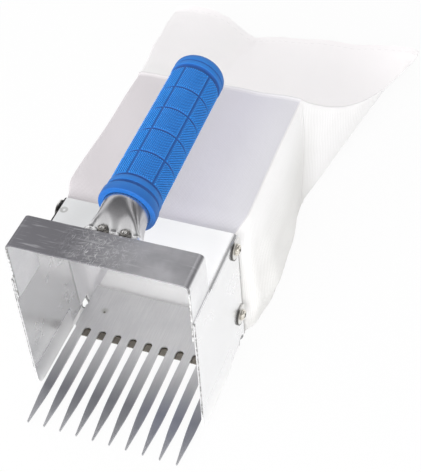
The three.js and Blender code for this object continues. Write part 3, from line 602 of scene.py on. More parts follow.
def comb_marks(owner, place, finish):
    """Painted shade darkens the teeth towards their tips, a painted bluish reflection lies on the right
    ones, and there are specks of dried juice.
    """
    along = add(owner, "ShaderNodeSeparateXYZ", {0: place}).outputs[1]
    # Painted shade: the teeth darker towards their tips.
    painted_shading = graded(add(owner, "ShaderNodeValToRGB", {0: within(owner, along, -0.015, -0.099)}),
                  *[(stop, (share, share, share, 1)) for stop, share in
                    ((0.1, 0.0), (0.62, 0.85), (0.8, 0.75), (1.0, 0.4))])
    finish = tinted(owner, painted_shading, finish, "#6E6F77")
    # The second spot is a painted bluish reflection on the right teeth; the others are stains and specks of
    # dried juice.
    for x, y, inner, outer, share, colour in ((-0.0418, 0.0014, 0.0006, 0.0034, 0.45, "#8F9080"),
                                              (0.036, -0.070, 0.008, 0.030, 0.25, "#8990AC"),
                                              (-0.0414, 0.0001, 0.00055, 0.0011, 0.8, "#4F4A36"),
                                              (0.0450, -0.006, 0.0003, 0.0006, 0.8, "#4F4A36"),
                                              (0.0495, -0.0085, 0.00035, 0.0007, 0.8, "#4F4A36")):
        spot = near_place(owner, place, (x, y, COMB_TOP), inner, outer)
        finish = tinted(owner, times(owner, spot, share), finish, colour)
    return finish


# Satin cold rolled steel: an even grey with fine lines along the teeth, and no clear reflections.
comb.data.materials.append(sheet_metal("satin_cold_rolled_steel", "#DEDEDF", "#D2D2D4", 0.32,
                                       grain_along=(260, 9, 260), metallic=0.62, marks=comb_marks))
own(comb, "comb", "comb_plate")


# Handle tube: thin bright steel tube, its front end pressed flat in a die and dented round two rivets.
# The wall is smooth and shiny, with soft draw marks along it.
def held(value):
    """A share kept between 0 and 1."""
    return min(max(value, 0), 1)


def eased(value):
    """0 to 1 with soft ends."""
    return held(value) ** 2 * (3 - 2 * held(value))


def between(low, high, share):
    """The value at this share of the way from low to high."""
    return low + (high - low) * share


def lofted(name, rings, cap_front=False, cap_back=False):
    """A skin through rings of points. A cap joins the lower half of its ring to the upper half."""
    mesh = bmesh.new()
    made = [[mesh.verts.new(point) for point in ring] for ring in rings]
    count = len(rings[0])
    for near, far in zip(made, made[1:]):
        for k in range(count):
            mesh.faces.new((near[k], near[(k + 1) % count], far[(k + 1) % count], far[k]))
    for ring, wanted in ((made[0], cap_front), (made[-1], cap_back)):
        if wanted:
            for k in range(count // 2):
                corners = [ring[k], ring[k + 1], ring[(count - k - 1) % count], ring[(count - k) % count]]
                mesh.faces.new(list(dict.fromkeys(corners)))
    bmesh.ops.recalc_face_normals(mesh, faces=mesh.faces)
    data = bpy.data.meshes.new(name)
    mesh.to_mesh(data)
    mesh.free()
    piece = bpy.data.objects.new(name, data)
    bpy.context.collection.objects.link(piece)
    return piece


TUBE_RADIUS = 0.015
TUBE_WALL = 0.0015
TUBE_LENGTH = 0.1253
TUBE_SIDES = 72
HOOD_UNDERSIDE = HOOD_TOP - SHEET
HANDLE_TILT = math.radians(2.5)
HANDLE_START = Vector((0, -0.0132, 0.1308))
FOOT_FRONT = -0.057
FOOT_FLAT = -0.045
FOOT_HALF_HEIGHT = 0.0018
FOOT_FLARE = 0.0026
FLARE_BACK = -0.022
FLARE_RUN = 0.012
PRESSED_BACK = -0.014
PRESSED_CORNER = 0.0022
PRESSED_CORNER_FRONT = -0.030
PRESSED_STEPS = 40
RIVET_PLACES = [(-0.0086, -0.0299), (0.0060, -0.0299)]
CUP_DEPTH, CUP_REACH = 0.0018, 0.0040
DISH_DEPTH, DISH_REACH = 0.0012, 0.0085
UPPER_WALL = HOOD_UNDERSIDE - 0.006


def boxed_round(half_width, half_height, corner, count):
    """Points at even steps round a section with round corners, from its left middle and under."""
    quarter = math.pi / 2 * corner
    wide, tall = half_width - corner, half_height - corner
    runs = [("wall", tall), ("bend", quarter), ("wall", 2 * wide), ("bend", quarter), ("wall", 2 * tall),
            ("bend", quarter), ("wall", 2 * wide), ("bend", quarter), ("wall", tall)]
    girth = sum(length for _, length in runs)
    points = []
    for k in range(count):
        left, x, z, heading = girth * k / count, -half_width, 0.0, -math.pi / 2
        for kind, length in runs:
            walked = min(left, length)
            if kind == "wall":
                x, z = x + walked * math.cos(heading), z + walked * math.sin(heading)
            elif walked:
                turn = walked / corner
                x += corner * (math.sin(heading + turn) - math.sin(heading))
                z -= corner * (math.cos(heading + turn) - math.cos(heading))
                heading += turn
            left -= walked
            if left <= 0:
                break
        points.append((x, z))
    return points


def pressed_section(y):
    """The pressed tube keeps its girth while its height and its corners shrink towards the foot."""
    half_height = between(FOOT_HALF_HEIGHT, TUBE_RADIUS, eased((y - FOOT_FLAT) / (PRESSED_BACK - FOOT_FLAT)))
    opened = eased((y - PRESSED_CORNER_FRONT) / (PRESSED_BACK - PRESSED_CORNER_FRONT))
    corner = min(half_height, between(PRESSED_CORNER, TUBE_RADIUS, opened))
    half_width = math.pi / 2 * (TUBE_RADIUS - corner) + 2 * corner - half_height
    axis = HANDLE_START.z + (y - HANDLE_START.y) * math.tan(HANDLE_TILT)
    middle = max(HOOD_UNDERSIDE - 0.0002, axis - TUBE_RADIUS + 2 * half_height) - half_height
    flare = FOOT_FLARE * eased((FLARE_BACK - y) / FLARE_RUN)
    return [Vector((x - flare * held(-x / half_width) ** 2, y, middle + z))
            for x, z in boxed_round(half_width, half_height, corner, TUBE_SIDES)]


def round_section(distance):
    """The tube's round section at a distance along its tilted axis."""
    turn = Matrix.Rotation(HANDLE_TILT, 3, "X")
    ring = []
    for k in range(TUBE_SIDES):
        angle = -math.pi + math.tau * k / TUBE_SIDES
        point = Vector((TUBE_RADIUS * math.cos(angle), distance, TUBE_RADIUS * math.sin(angle)))
        ring.append(turn @ point + HANDLE_START)
    return ring


tube_rings = [pressed_section(between(FOOT_FRONT, FOOT_FLAT, k / 3)) for k in range(3)]
tube_rings += [pressed_section(between(FOOT_FLAT, PRESSED_BACK, k / PRESSED_STEPS))
               for k in range(PRESSED_STEPS + 1)]
tube_rings += [round_section(distance) for distance in (0.0, 0.04, 0.08, TUBE_LENGTH)]
for ring in tube_rings:
    for point in ring:
        for x, y in RIVET_PLACES:
            reach = math.hypot(point.x - x, (point.y - y) / 1.15)
            cup = CUP_DEPTH * math.exp(-(reach / CUP_REACH) ** 4)
            dish = DISH_DEPTH * math.exp(-(reach / DISH_REACH) ** 2)
            if point.z > UPPER_WALL:
                point.z -= cup + dish


def tube_marks(owner, place, finish):
    """A painted highlight: the foot is painted near white across the rivet dents."""
    along = add(owner, "ShaderNodeSeparateXYZ", {0: place}).outputs[1]
    return tinted(owner, times(owner, within(owner, along, -0.0245, -0.0315), 0.95), finish, "#FBFBFB")


tube = lofted("pressed_tube", tube_rings, cap_front=True)
walled(tube, TUBE_WALL)
bpy.ops.object.shade_smooth_by_angle(angle=math.radians(40))

# Bright drawn tube: it mirrors the studio in soft light and dark streaks along it.
tube.data.materials.append(sheet_metal("bright_drawn_steel_tube", "#C9C8CA", "#BBBABC", 0.27,
                                       grain_along=(260, 9, 260), smear=0.05, relief=0.000002,
                                       marks=tube_marks))
own(tube, "tube", "handle_tube")


# Handle rivets: two domed steel rivets set down into the dents of the tube, with painted shade round their
# heads. Each has a shank through both walls of the pressed tube and a flat closing head under them.
def turned(name, profile, steps):
    """A body turned round the Z axis from its profile of (radius, height), as on a lathe."""
    none_selected()
    bpy.ops.mesh.primitive_plane_add(size=0.001)
    body = bpy.context.object
    body.name = body.data.name = name
    bpy.ops.object.mode_set(mode="EDIT")
    bpy.ops.mesh.select_mode(type="VERT")
    bpy.ops.mesh.select_all(action="SELECT")
    bpy.ops.mesh.merge(type="CENTER")
    bpy.ops.transform.translate(value=(profile[0][0], 0, profile[0][1]))
    for (r0, z0), (r1, z1) in zip(profile, profile[1:]):
        bpy.ops.mesh.extrude_vertices_move(TRANSFORM_OT_translate={"value": (r1 - r0, 0, z1 - z0)})
    bpy.ops.mesh.select_all(action="SELECT")
    bpy.ops.mesh.spin(steps=steps, angle=math.tau, center=(0, 0, 0), axis=(0, 0, 1))
    bpy.ops.mesh.select_all(action="SELECT")
    bpy.ops.mesh.remove_doubles(threshold=1e-6)
    bpy.ops.mesh.normals_make_consistent(inside=False)
    bpy.ops.object.mode_set(mode="OBJECT")
    return body


def copied(piece, name, matrix):
    """A copy with a mesh of its own, its place in the mesh."""
    made = piece.copy()
    made.data = piece.data.copy()
    made.name = made.data.name = name
    made.data.transform(matrix)
    bpy.context.collection.objects.link(made)
    return made


RIVET_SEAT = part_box("handle_rivet_left")[1].z - 0.0012


def rivet_marks(owner, place, finish):
    """Painted shade darkens the flange round the dome, and the dome stays bright."""
    height = add(owner, "ShaderNodeSeparateXYZ", {0: place}).outputs[2]
    flange_painted_shade = times(owner, within(owner, height, RIVET_SEAT + 0.0010, RIVET_SEAT + 0.0007), 0.75)
    return tinted(owner, flange_painted_shade, finish, "#77736E")


# Zinc plated rivet steel: small bright heads with a sharp highlight.
rivet_steel = sheet_metal("zinc_plated_rivet_steel", "#F1F0EE", "#B9B6B1", 0.14, grain_along=(120, 120, 120),
                          marks=rivet_marks)
rivet_profile = [(0, -0.0155), (0.0029, -0.0155), (0.0029, -0.0143), (0.002, -0.0143), (0.002, 0.0)]
rivet_profile += [(0.0026, 0.0), (0.0028, 0.0002), (0.0027, 0.0005), (0.0018, 0.0006)]
rivet_profile += [(0.0017 * math.cos(a), 0.0007 + 0.0011 * math.sin(a)) for a in
                  [math.pi / 2 * k / 6 for k in range(6)]]
rivet_profile += [(0, 0.0018)]
rivet = turned("rivet_pattern", rivet_profile, 32)
only(rivet)
bpy.ops.object.shade_smooth_by_angle(angle=math.radians(35))
rivet.data.materials.append(rivet_steel)
for side, (x, y) in zip(("left", "right"), RIVET_PLACES):
    made = copied(rivet, "domed_rivet_" + side, Matrix.Translation((x, y, RIVET_SEAT)))
    own(made, "fastener", "handle_rivet_" + side)
scrapped(rivet)


# Grip: a sleeve of blue rubbery plastic moulded in one piece over the tube, with plain rings at its ends
# and five rows of six diamond knurled panels between narrow grooves.
GRIP_RADIUS = 0.0174
GRIP_BORE = 0.0153
GRIP_LENGTH = 0.1295
GROOVE_BOTTOM = 0.0166
GROOVE_SLOPE = 0.0004
PANEL_ROUND = 0.0002
KNURL_PEAK = 0.00042
KNURL_PIT = 0.0004
PANELS_FRONT = 0.0146
PANELS_BACK = 0.115
PANEL_ROWS = 5
PANEL_PITCH = (PANELS_BACK - PANELS_FRONT) / PANEL_ROWS
PANEL_INSET = 0.0009
PANELS_AROUND = 6
KNURL_STEPS = 24
GRIP_COLUMNS = 156
PANEL_EDGE = GRIP_RADIUS - PANEL_ROUND
grip_profile = [(GRIP_BORE, 0), (0.0181, 0), (0.0187, 0.0003), (0.0189, 0.001), (0.0189, 0.0056),
                (0.0187, 0.0063), (0.0181, 0.0066), (0.0167, 0.0074), (0.0167, 0.0084), (0.0172, 0.0092),
                (0.0178, 0.0094), (0.018, 0.0102), (0.018, 0.0124), (0.0178, 0.013), (0.0168, 0.0133)]
knurl_rows = {}
for row in range(PANEL_ROWS):
    front = PANELS_FRONT + row * PANEL_PITCH + PANEL_INSET
    back = PANELS_FRONT + (row + 1) * PANEL_PITCH - PANEL_INSET
    grip_profile += [(GROOVE_BOTTOM, front - GROOVE_SLOPE), (PANEL_EDGE, front)]
    for k in range(1, KNURL_STEPS):
        height = between(front, back, k / KNURL_STEPS)
        knurl_rows[round(height * 1e6)] = k
        grip_profile.append((GRIP_RADIUS, height))
    grip_profile += [(PANEL_EDGE, back), (GROOVE_BOTTOM, back + GROOVE_SLOPE)]
grip_profile += [(0.0165, 0.1156), (0.0165, 0.117), (0.0171, 0.1176), (0.0177, 0.1178), (0.0179, 0.1186)]
grip_profile += [(0.0179, 0.1208), (0.0172, 0.1213), (0.0172, 0.122), (0.0178, 0.1225)]
grip_profile += [(0.0129 + 0.005 * math.cos(a), 0.1245 + 0.005 * math.sin(a)) for a in
                 [math.pi / 2 * k / 8 for k in range(9)]]
grip_profile += [(0.006, GRIP_LENGTH), (0, GRIP_LENGTH), (0, 0.1256), (GRIP_BORE, 0.1256), (GRIP_BORE, 0)]
grip = turned("moulded_grip", grip_profile, GRIP_COLUMNS)


def ring_painted_shade(radius, height):
    """Painted shade on the rings at the ends: dark in the grooves between them, and at the front rim."""
    in_groove = 0.016 < radius < 0.0173 and not 0.0135 < height < PANELS_BACK and 0.002 < height < 0.1225
    return 0.15 if in_groove else 0.26 if height < 0.0015 else 0.42


sector = math.tau / PANELS_AROUND
sector_columns = GRIP_COLUMNS // PANELS_AROUND
sector_length = sector * GRIP_RADIUS * 1000
groove_places = (0.0, 0.5, 0.9)
panel_rim = groove_places[-1]
low_points = []

# Each column of points slides round to a groove's floor or slope, or to its even place in a panel, given in
# millimetres from the groove. Peaks and pits then take turns over a panel, with painted highlights on the
# peaks and painted shade in the pits and grooves.
painted_light_and_shade = grip.data.attributes.new("painted_light_and_shade", "FLOAT", "POINT").data
for v in grip.data.vertices:
    radius = math.hypot(v.co.x, v.co.y)
    painted_light_and_shade[v.index].value = ring_painted_shade(radius, v.co.z)
    if not (PANELS_FRONT + 0.0002 < v.co.z < PANELS_BACK - 0.0002 and radius > 0.016):
        continue
    row = knurl_rows.get(round(v.co.z * 1e6))
    column = round(math.atan2(v.co.y, v.co.x) % math.tau / math.tau * GRIP_COLUMNS) % GRIP_COLUMNS
    number, step = divmod(column, sector_columns)
    mirrored = min(step, sector_columns - step)
    if mirrored < 3:
        along = groove_places[mirrored]
    else:
        along = panel_rim + (mirrored - 2) * (sector_length - 2 * panel_rim) / (sector_columns - 4)
    along = along if step == mirrored else sector_length - along
    angle = number * sector + along / sector_length * sector
    if mirrored < 2:
        radius = min(radius, GROOVE_BOTTOM)
        painted_light_and_shade[v.index].value = 0.18
    elif not row:
        painted_light_and_shade[v.index].value = 0.1 if radius < GRIP_RADIUS - GROOVE_SLOPE else 0.5
    elif mirrored == 2:
        radius = PANEL_EDGE
    elif (row + step) % 2:
        radius = GRIP_RADIUS - KNURL_PIT
        painted_light_and_shade[v.index].value = 0.0
        low_points.append(v.index)
    else:
        radius = GRIP_RADIUS + KNURL_PEAK
        painted_light_and_shade[v.index].value = 1.1
    v.co.x, v.co.y = radius * math.cos(angle), radius * math.sin(angle)
pick(grip, "VERT", lambda middle: False)
bpy.ops.object.mode_set(mode="OBJECT")
for index in low_points:
    grip.data.vertices[index].select = True
bpy.ops.object.mode_set(mode="EDIT")
bpy.ops.mesh.vert_connect()
bpy.ops.object.mode_set(mode="OBJECT")
bpy.ops.object.shade_smooth_by_angle(angle=math.radians(24))
grip.data.transform(Matrix.Translation(HANDLE_START) @ Matrix.Rotation(HANDLE_TILT - math.pi / 2, 4, "X")
                    @ Matrix.Rotation(math.radians(18), 4, "Z"))

# Moulded soft PVC: an even blue with a satin skin of fine pores, painted darker where light doesn't reach
# and lighter on the knurl peaks as painted highlights.
grip_rubber = blank("blue_moulded_soft_pvc")
place = add(grip_rubber, "ShaderNodeTexCoord").outputs["Object"]
cloud = add(grip_rubber, "ShaderNodeTexNoise", {"Vector": place, "Scale": 45, "Detail": 4}).outputs[0]
pores = add(grip_rubber, "ShaderNodeTexNoise", {"Vector": place, "Scale": 2200, "Detail": 2})
blue = graded(add(grip_rubber, "ShaderNodeValToRGB", {0: cloud}),
              (0.32, linear("#2190EB")), (0.68, linear("#2598F3")))
painted_shading = add(grip_rubber, "ShaderNodeAttribute", attribute_name="painted_light_and_shade")
shaded = tinted(grip_rubber, within(grip_rubber, painted_shading.outputs["Fac"], 0.1, 0.95), linear("#0B4189"), blue)
matt = add(grip_rubber, "ShaderNodeMapRange", {"Value": cloud, "To Min": 0.44, "To Max": 0.6})
skin = add(grip_rubber, "ShaderNodeBump", {"Height": pores.outputs[0], "Strength": 0.3, "Distance": 0.0001})
rubber = add(grip_rubber, "ShaderNodeBsdfPrincipled", {"Base Color": shaded, "Roughness": matt.outputs[0],
                                                       "Normal": skin.outputs[0], "IOR": 1.5})
add(grip_rubber, "ShaderNodeOutputMaterial", {"Surface": rubber.outputs[0]})
grip.data.materials.append(grip_rubber)
own(grip, "grip", "handle_grip")

# The room's light passes the handle, which would else darken the roof and the cloth close under it.
grip.visible_diffuse = tube.visible_diffuse = False


# Bag screws: four zinc plated pan head screws with a cross recess, each on a large washer and held by a
# nut inside. The plating has yellowed a little.
SCREW_Y = 0.006
SCREW_SEAT = 0.0614
SCREW_PLACES = {"lower_left": (-1, 0.052), "upper_left": (-1, 0.0945), "lower_right": (1, 0.030),
                "upper_right": (1, 0.0945)}
HEAD_RADIUS = 0.0038
HEAD_TOP = 0.0024
RECESS_LENGTH, RECESS_WIDTH, RECESS_DEPTH = 0.0042, 0.0009, 0.0028
screw_profile = [(0, -0.0135), (0.002, -0.0135), (0.002, 0.0), (0.0037, 0.0), (HEAD_RADIUS, 0.0005)]
screw_profile += [(HEAD_RADIUS * math.cos(a) ** 0.8, 0.0008 + 0.0016 * math.sin(a)) for a in
                  [math.pi / 2 * k / 8 for k in range(1, 8)]]
screw_profile += [(0, HEAD_TOP)]
screw = turned("screw_pattern", screw_profile, 40)
for arm in ((RECESS_LENGTH, RECESS_WIDTH), (RECESS_WIDTH, RECESS_LENGTH)):
    none_selected()
    bpy.ops.mesh.primitive_cube_add(size=1, location=(0, 0, HEAD_TOP), scale=(*arm, RECESS_DEPTH))
    bar = bpy.context.object
    modified(screw, "BOOLEAN", operation="DIFFERENCE", object=bar)
    scrapped(bar)
bpy.ops.object.shade_smooth_by_angle(angle=math.radians(30))


def screw_marks(owner, place, finish):
    """Painted shade darkens the cross recesses."""
    for sign, height in SCREW_PLACES.values():
        recess = near_place(owner, place, (sign * 0.0622, SCREW_Y, height), 0.0017, 0.0021)
        finish = tinted(owner, times(owner, recess, 0.85), finish, "#4A433C")
    return finish


# Yellowed zinc plating: warm and bright, with a sharp highlight on each head.
yellowed = sheet_metal("yellowed_zinc_plated_steel", "#F3EFE6", "#BDB6A8", 0.17, grain_along=(150, 150, 150),
                       marks=screw_marks)
screw.data.materials.append(yellowed)
for number, (where, (sign, z)) in enumerate(SCREW_PLACES.items()):
    facing = Matrix.Rotation(sign * math.pi / 2, 4, "Y")
    turn = Matrix.Rotation(math.radians(20 + 35 * number), 4, "Z")
    seat = Matrix.Translation((sign * SCREW_SEAT, SCREW_Y, z))
    made = copied(screw, "pan_screw_" + where, seat @ facing @ turn)
    own(made, "fastener", "bag_screw_" + where)
scrapped(screw)


# Washers and nuts: large stamped washers on the cheeks and hexagonal nuts inside, both zinc plated.
# Their CAD shapes are right and stay, and only get their finish.
def clad(material, *nodes):
    """CAD nodes whose shape is right keep it and get this material."""
    for name in nodes:
        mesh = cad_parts[name].data
        mesh.materials.clear()
        mesh.materials.append(material)


washer_low, washer_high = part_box("bag_washer_upper_right")
WASHER_RADIUS = (washer_high.y - washer_low.y) / 2


def washer_marks(owner, place, finish):
    """A painted shadow: a dark crescent along the washer's front rim, where it stands off the sheet."""
    share = within(owner, add(owner, "ShaderNodeSeparateXYZ", {0: place}).outputs[1], 0.0060, 0.0030)
    for sign, height in SCREW_PLACES.values():
        face = near_place(owner, place, (sign * 0.0607, SCREW_Y, height),
                          WASHER_RADIUS - 0.0010, WASHER_RADIUS - 0.0007)
        share = times(owner, share, within(owner, face, 1, 0))
    return tinted(owner, times(owner, share, 0.9), finish, "#3A3733")


# Zinc plated washer steel: pale and slightly dull, so that the heads stand out on it.
clad(sheet_metal("zinc_plated_washer_steel", "#F0EFED", "#D5D3CF", 0.25, metallic=0.8, marks=washer_marks),
     *["bag_washer_" + where for where in SCREW_PLACES])
clad(yellowed, *["bag_nut_" + where for where in SCREW_PLACES])


# Bag frame: a hoop of drawn wire that holds the bag square, and four rods that carry it from the screws.
# The wire is bright, with fine lines along it from the drawing die.
clad(sheet_metal("bright_drawn_wire", "#B7B7B9", "#8F8F92", 0.25, grain_along=(260, 9, 260)),
     "bag_frame_hoop", *["bag_frame_rod_" + where for where in SCREW_PLACES])


# Bag: white woven polyester cloth, sewn to a square sleeve over its hoop and flattened into a wide tail
# that lies on the table and ends in a sewn seam. It is tucked into the shell and screwed there.
CLOTH = 0.00045
BAG_START = -0.002
MOUTH = 0.0123
OPENING = 0.018
HOOP_ZONE = (0.1430, 0.1494)
HOOP_CREASE = 0.1446
HOOP_PLACE = 0.1462
HOOP_RIDGE = 0.0007
HOOP_REACH = 0.0016
BOX_BACK = 0.148
SEAM_FRONT = 0.328
TAIL_BACK = 0.337
CLOTH_HALF = 0.0585
CLOTH_TOP = 0.1005
RIGHT_SPREAD = 0.0015
LEFT_SPREAD = 0.0035
GROUND_HALF = 0.106
TAIL_HALF = 0.112
TAIL_SHIFT = 0.003
TAIL_SAG = 0.006
SEAM_THICK = 0.0019
CORNER_INSIDE, CORNER_BEHIND = 0.0016, 0.0022
HEM_CUT_BACK, HEM_CUT_TOP = 0.0096, 0.0085
BAG_MIDDLE = 0.05
WAVE, WAVE_LENGTH = 0.0011, 0.020
TAIL_WAVE, TAIL_WAVE_LENGTH = 0.0018, 0.016
TOP_STEPS = 36
SIDE_STEPS = 16
CORNER_STEPS = 5

# How far the sides swell out: over their height, and along the box on the right and on the left.
SWELL = 0.014
BULGE = [(0, 0.6), (0.25, 1), (0.5, 0.75), (0.75, 0.35), (1, 0)]
FILL = [(0, 0), (0.09, 0.6), (0.27, 1), (0.5, 0.85), (1, 0.1)]
LEFT_FILL = [(0, 0), (0.12, 0.35), (0.3, 0.72), (0.75, 0.68), (1, 0.3)]

# How high the tail's end lies in folds above the table, from left to right.
RUFFLE = [(-0.115, 0.0215), (-0.095, 0.025), (-0.078, 0.0242), (-0.065, 0.0195), (-0.055, 0.0125),
          (-0.045, 0.0035), (-0.038, 0.0), (-0.025, 0.0035), (-0.01, 0.006), (0.01, 0.0072), (0.025, 0.01),
          (0.045, 0.01), (0.055, 0.0095), (0.075, 0.013), (0.09, 0.015), (0.105, 0.0155), (0.112, 0.013)]


def read_off(stops, place):
    """A value from a list of places and values, eased from one to the next."""
    k = next((n for n, (stop, _) in enumerate(stops) if stop >= place and n), len(stops) - 1)
    (start, low), (stop, high) = stops[k - 1], stops[k]
    return between(low, high, eased((place - start) / (stop - start)))


def ripple(x, y, z, size):
    """Soft uneven waves in the cloth, from -1 to 1."""
    return noise.noise(Vector((x, y, z)) / size)


def bag_ring(y):
    """The bag's section at y, from its left middle under to the right, over the top and back down."""
    opened = eased((y - MOUTH) / OPENING)
    box_share = held((y - MOUTH) / (BOX_BACK - MOUTH))
    tail = held((y - BOX_BACK) / (SEAM_FRONT - BOX_BACK))
    ridge = HOOP_RIDGE * math.exp(-((y - HOOP_PLACE) / HOOP_REACH) ** 2)
    half = between(CLOTH_HALF, SHELL_HALF, opened) + ridge
    height = between(CLOTH_TOP, SHELL_TOP, opened) + ridge
    corner = between(between(CORNER_INSIDE, CORNER_BEHIND, opened), SEAM_THICK / 4, tail)
    bulge, left_bulge = [SWELL * read_off(fill, box_share) * (1 - tail) ** 2 for fill in (FILL, LEFT_FILL)]
    ground = between(half, GROUND_HALF, tail)
    right = (between(half + RIGHT_SPREAD * opened, TAIL_HALF, tail),
             between(SEAM_THICK, height, (1 - tail) ** 2))
    left = (between(half + LEFT_SPREAD * opened, TAIL_HALF, tail), between(height, SEAM_THICK, tail))
    foot = ground + bulge * read_off(BULGE, 0)
    left_foot = ground + left_bulge * read_off(BULGE, 0)

    def corner_arc(x, z, start, stop, sign):
        """Points round a corner of the right half, or of the left one for a sign of -1."""
        angles = [between(start, stop, k / CORNER_STEPS) for k in range(CORNER_STEPS + 1)]
        return [(sign * (x + corner * math.cos(a)), z + corner * math.sin(a)) for a in angles]

    def side(fold, sign, swell, shares):
        """Points up one side at these shares of its height, from the ground to its fold."""
        return [(sign * (between(ground, fold[0], s) + swell * read_off(BULGE, s)),
                 between(corner, fold[1] - corner, s)) for s in shares]

    quarter = math.pi / 2
    sag = TAIL_SAG * math.sin(math.pi * tail)
    lower = [(k + 1) / SIDE_STEPS for k in range(SIDE_STEPS // 2)]
    upper = [k / SIDE_STEPS for k in range(SIDE_STEPS // 2 + 1, SIDE_STEPS)]
    flat = [k / TOP_STEPS for k in range(1, TOP_STEPS)]
    ring = side(left, -1, left_bulge, lower[::-1])
    ring += corner_arc(left_foot - corner, corner, 0, -quarter, -1)
    ring += [(between(-left_foot + corner, foot - corner, s), 0.0) for s in flat]
    ring += corner_arc(foot - corner, corner, -quarter, 0, 1)
    ring += side(right, 1, bulge, lower + upper)
    ring += corner_arc(right[0] - corner, right[1] - corner, 0, quarter, 1)
    ring += [(between(right[0] - corner, corner - left[0], s),
              between(right[1], left[1], s) - sag * (1 - (2 * s - 1) ** 2)) for s in flat]
    ring += corner_arc(left[0] - corner, left[1] - corner, quarter, 0, -1)
    ring += side(left, -1, left_bulge, upper[::-1])

    # Soft waves push the cloth out and up where nothing holds it: least by the shell and at the seam.
    middle = (left[1] + right[1]) / 4
    loose = (min(1, middle / 0.02) * eased((y - MOUTH) / 0.03)
             * (1 - 0.7 * eased((tail - 0.8) / 0.2)))
    placed = []
    for x, z in ring:
        outwards = max(-1, min(1, x / between(half, TAIL_HALF, tail)))
        upwards = held((z - middle) / max(middle, SEAM_THICK))
        push = loose * (WAVE * ripple(x, y / 3, z, WAVE_LENGTH)
                        + TAIL_WAVE * tail * ripple(x + y / 4, y / 5, z, TAIL_WAVE_LENGTH))
        lift = tail * read_off(RUFFLE, x)
        placed.append(Vector((x - TAIL_SHIFT * tail + push * outwards ** 5 * (1 - tail), y,
                              max(z + push * upwards ** 3, 0) + lift)))
    return placed


def stops_between(start, stop, steps):
    """Even places from one to another, with both."""
    return [between(start, stop, k / steps) for k in range(steps + 1)]


bag_stops = stops_between(BAG_START, MOUTH, 4)
for start, stop, steps in ((MOUTH, MOUTH + OPENING, 6), (MOUTH + OPENING, HOOP_ZONE[0], 32),
                           (*HOOP_ZONE, 8), (HOOP_ZONE[1], SEAM_FRONT, 60), (SEAM_FRONT, TAIL_BACK, 4)):
    bag_stops += stops_between(start, stop, steps)[1:]
bag_rings = [bag_ring(y) for y in bag_stops]
bag = lofted("cloth_bag", bag_rings, cap_back=True)
RIGHT_FOLD = SIDE_STEPS // 2 + 2 * (CORNER_STEPS + 1) + TOP_STEPS - 1 + SIDE_STEPS - 1
LEFT_FOLD = RIGHT_FOLD + CORNER_STEPS + 1 + TOP_STEPS - 1
creased = bag.data.attributes.new("creased", "FLOAT", "POINT")
for v in bag.data.vertices:
    number, place_in_ring = divmod(v.index, len(bag_rings[0]))
    in_fold = any(1 < place_in_ring - fold < 4 for fold in (RIGHT_FOLD, LEFT_FOLD))
    at_hoop = abs(bag_stops[number] - HOOP_CREASE) < 0.0006 and place_in_ring > RIGHT_FOLD - SIDE_STEPS
    creased.data[v.index].value = float(in_fold or at_hoop) if bag_stops[number] > MOUTH else 0.0
removed(bag, "FACE", lambda c: c.y < HEM_CUT_BACK and c.z < HEM_CUT_TOP)
walled(bag, CLOTH)
bpy.ops.object.shade_smooth_by_angle(angle=math.radians(60))
FRONT_RIM = BAG_START + 0.0004
for face in bag.data.polygons:
    from_middle = Vector((face.center.x, 0, face.center.z - BAG_MIDDLE))
    turned_in = face.center.y < BOX_BACK and from_middle.dot(face.normal) < 0
    face.material_index = int(turned_in or face.center.y < FRONT_RIM)

# Woven polyester: matt white, a little see-through, with a soft bloom where it turns away. Its threads are
# 0.3 mm apart and its stitches 3 mm, and both are drawn coarser, 1 mm and 6 mm, so that they show.
THREADS = {"Scale": 320, "Distortion": 0.4}
bag_cloth = blank("white_woven_polyester_cloth")
coords = add(bag_cloth, "ShaderNodeTexCoord").outputs
place = coords["Object"]
across, along, height = add(bag_cloth, "ShaderNodeSeparateXYZ", {0: place}).outputs
warp = add(bag_cloth, "ShaderNodeTexWave", {"Vector": place, **THREADS}, bands_direction="X")
weft = add(bag_cloth, "ShaderNodeTexWave", {"Vector": place, **THREADS}, bands_direction="Y")
weave = add(bag_cloth, "ShaderNodeMath", {0: warp.outputs[1], 1: weft.outputs[1]}, operation="ADD")
cloud = add(bag_cloth, "ShaderNodeTexNoise", {"Vector": place, "Scale": 24, "Detail": 5})
white_cloth = graded(add(bag_cloth, "ShaderNodeValToRGB", {0: cloud.outputs[0]}),
                     (0.3, linear("#F4F2F3")), (0.7, linear("#F9F8F7")))

# Painted shade: its top is painted greyer than the sides, most of all beside the grip.
top_painted_shade = tinted(bag_cloth, within(bag_cloth, across, -0.02, 0.02), linear("#C8C3C6"), "#CDCCD2")
from_grip = add(bag_cloth, "ShaderNodeMath", {0: across, 1: 0.016}, operation="SUBTRACT")
aside = add(bag_cloth, "ShaderNodeMath", {0: from_grip.outputs[0]}, operation="ABSOLUTE").outputs[0]
top_painted_shade = tinted(bag_cloth, within(bag_cloth, aside, 0.040, 0.008), top_painted_shade, "#CAC8D2")
box_top = times(bag_cloth, within(bag_cloth, height, 0.085, 0.1), within(bag_cloth, along, 0.15, 0.143))
white_cloth = tinted(bag_cloth, box_top, white_cloth, top_painted_shade)
# Painted light: behind the box the tail is painted whiter.
white_cloth = tinted(bag_cloth, within(bag_cloth, along, 0.15, 0.2), white_cloth, "#FDFAFB")

# Painted shade: the right-facing side is painted greyer low on the box, and brightest where it opens into
# the tail.
facing = add(bag_cloth, "ShaderNodeSeparateXYZ", {0: coords["Normal"]}).outputs[0]
low_on_box = times(bag_cloth, within(bag_cloth, height, 0.09, 0.05), within(bag_cloth, along, 0.17, 0.14))
right_side_painted_shade = tinted(bag_cloth, low_on_box, linear("#FAF9F9"), "#E8E7E5")
white_cloth = tinted(bag_cloth, within(bag_cloth, facing, 0.4, 0.85), white_cloth, right_side_painted_shade)

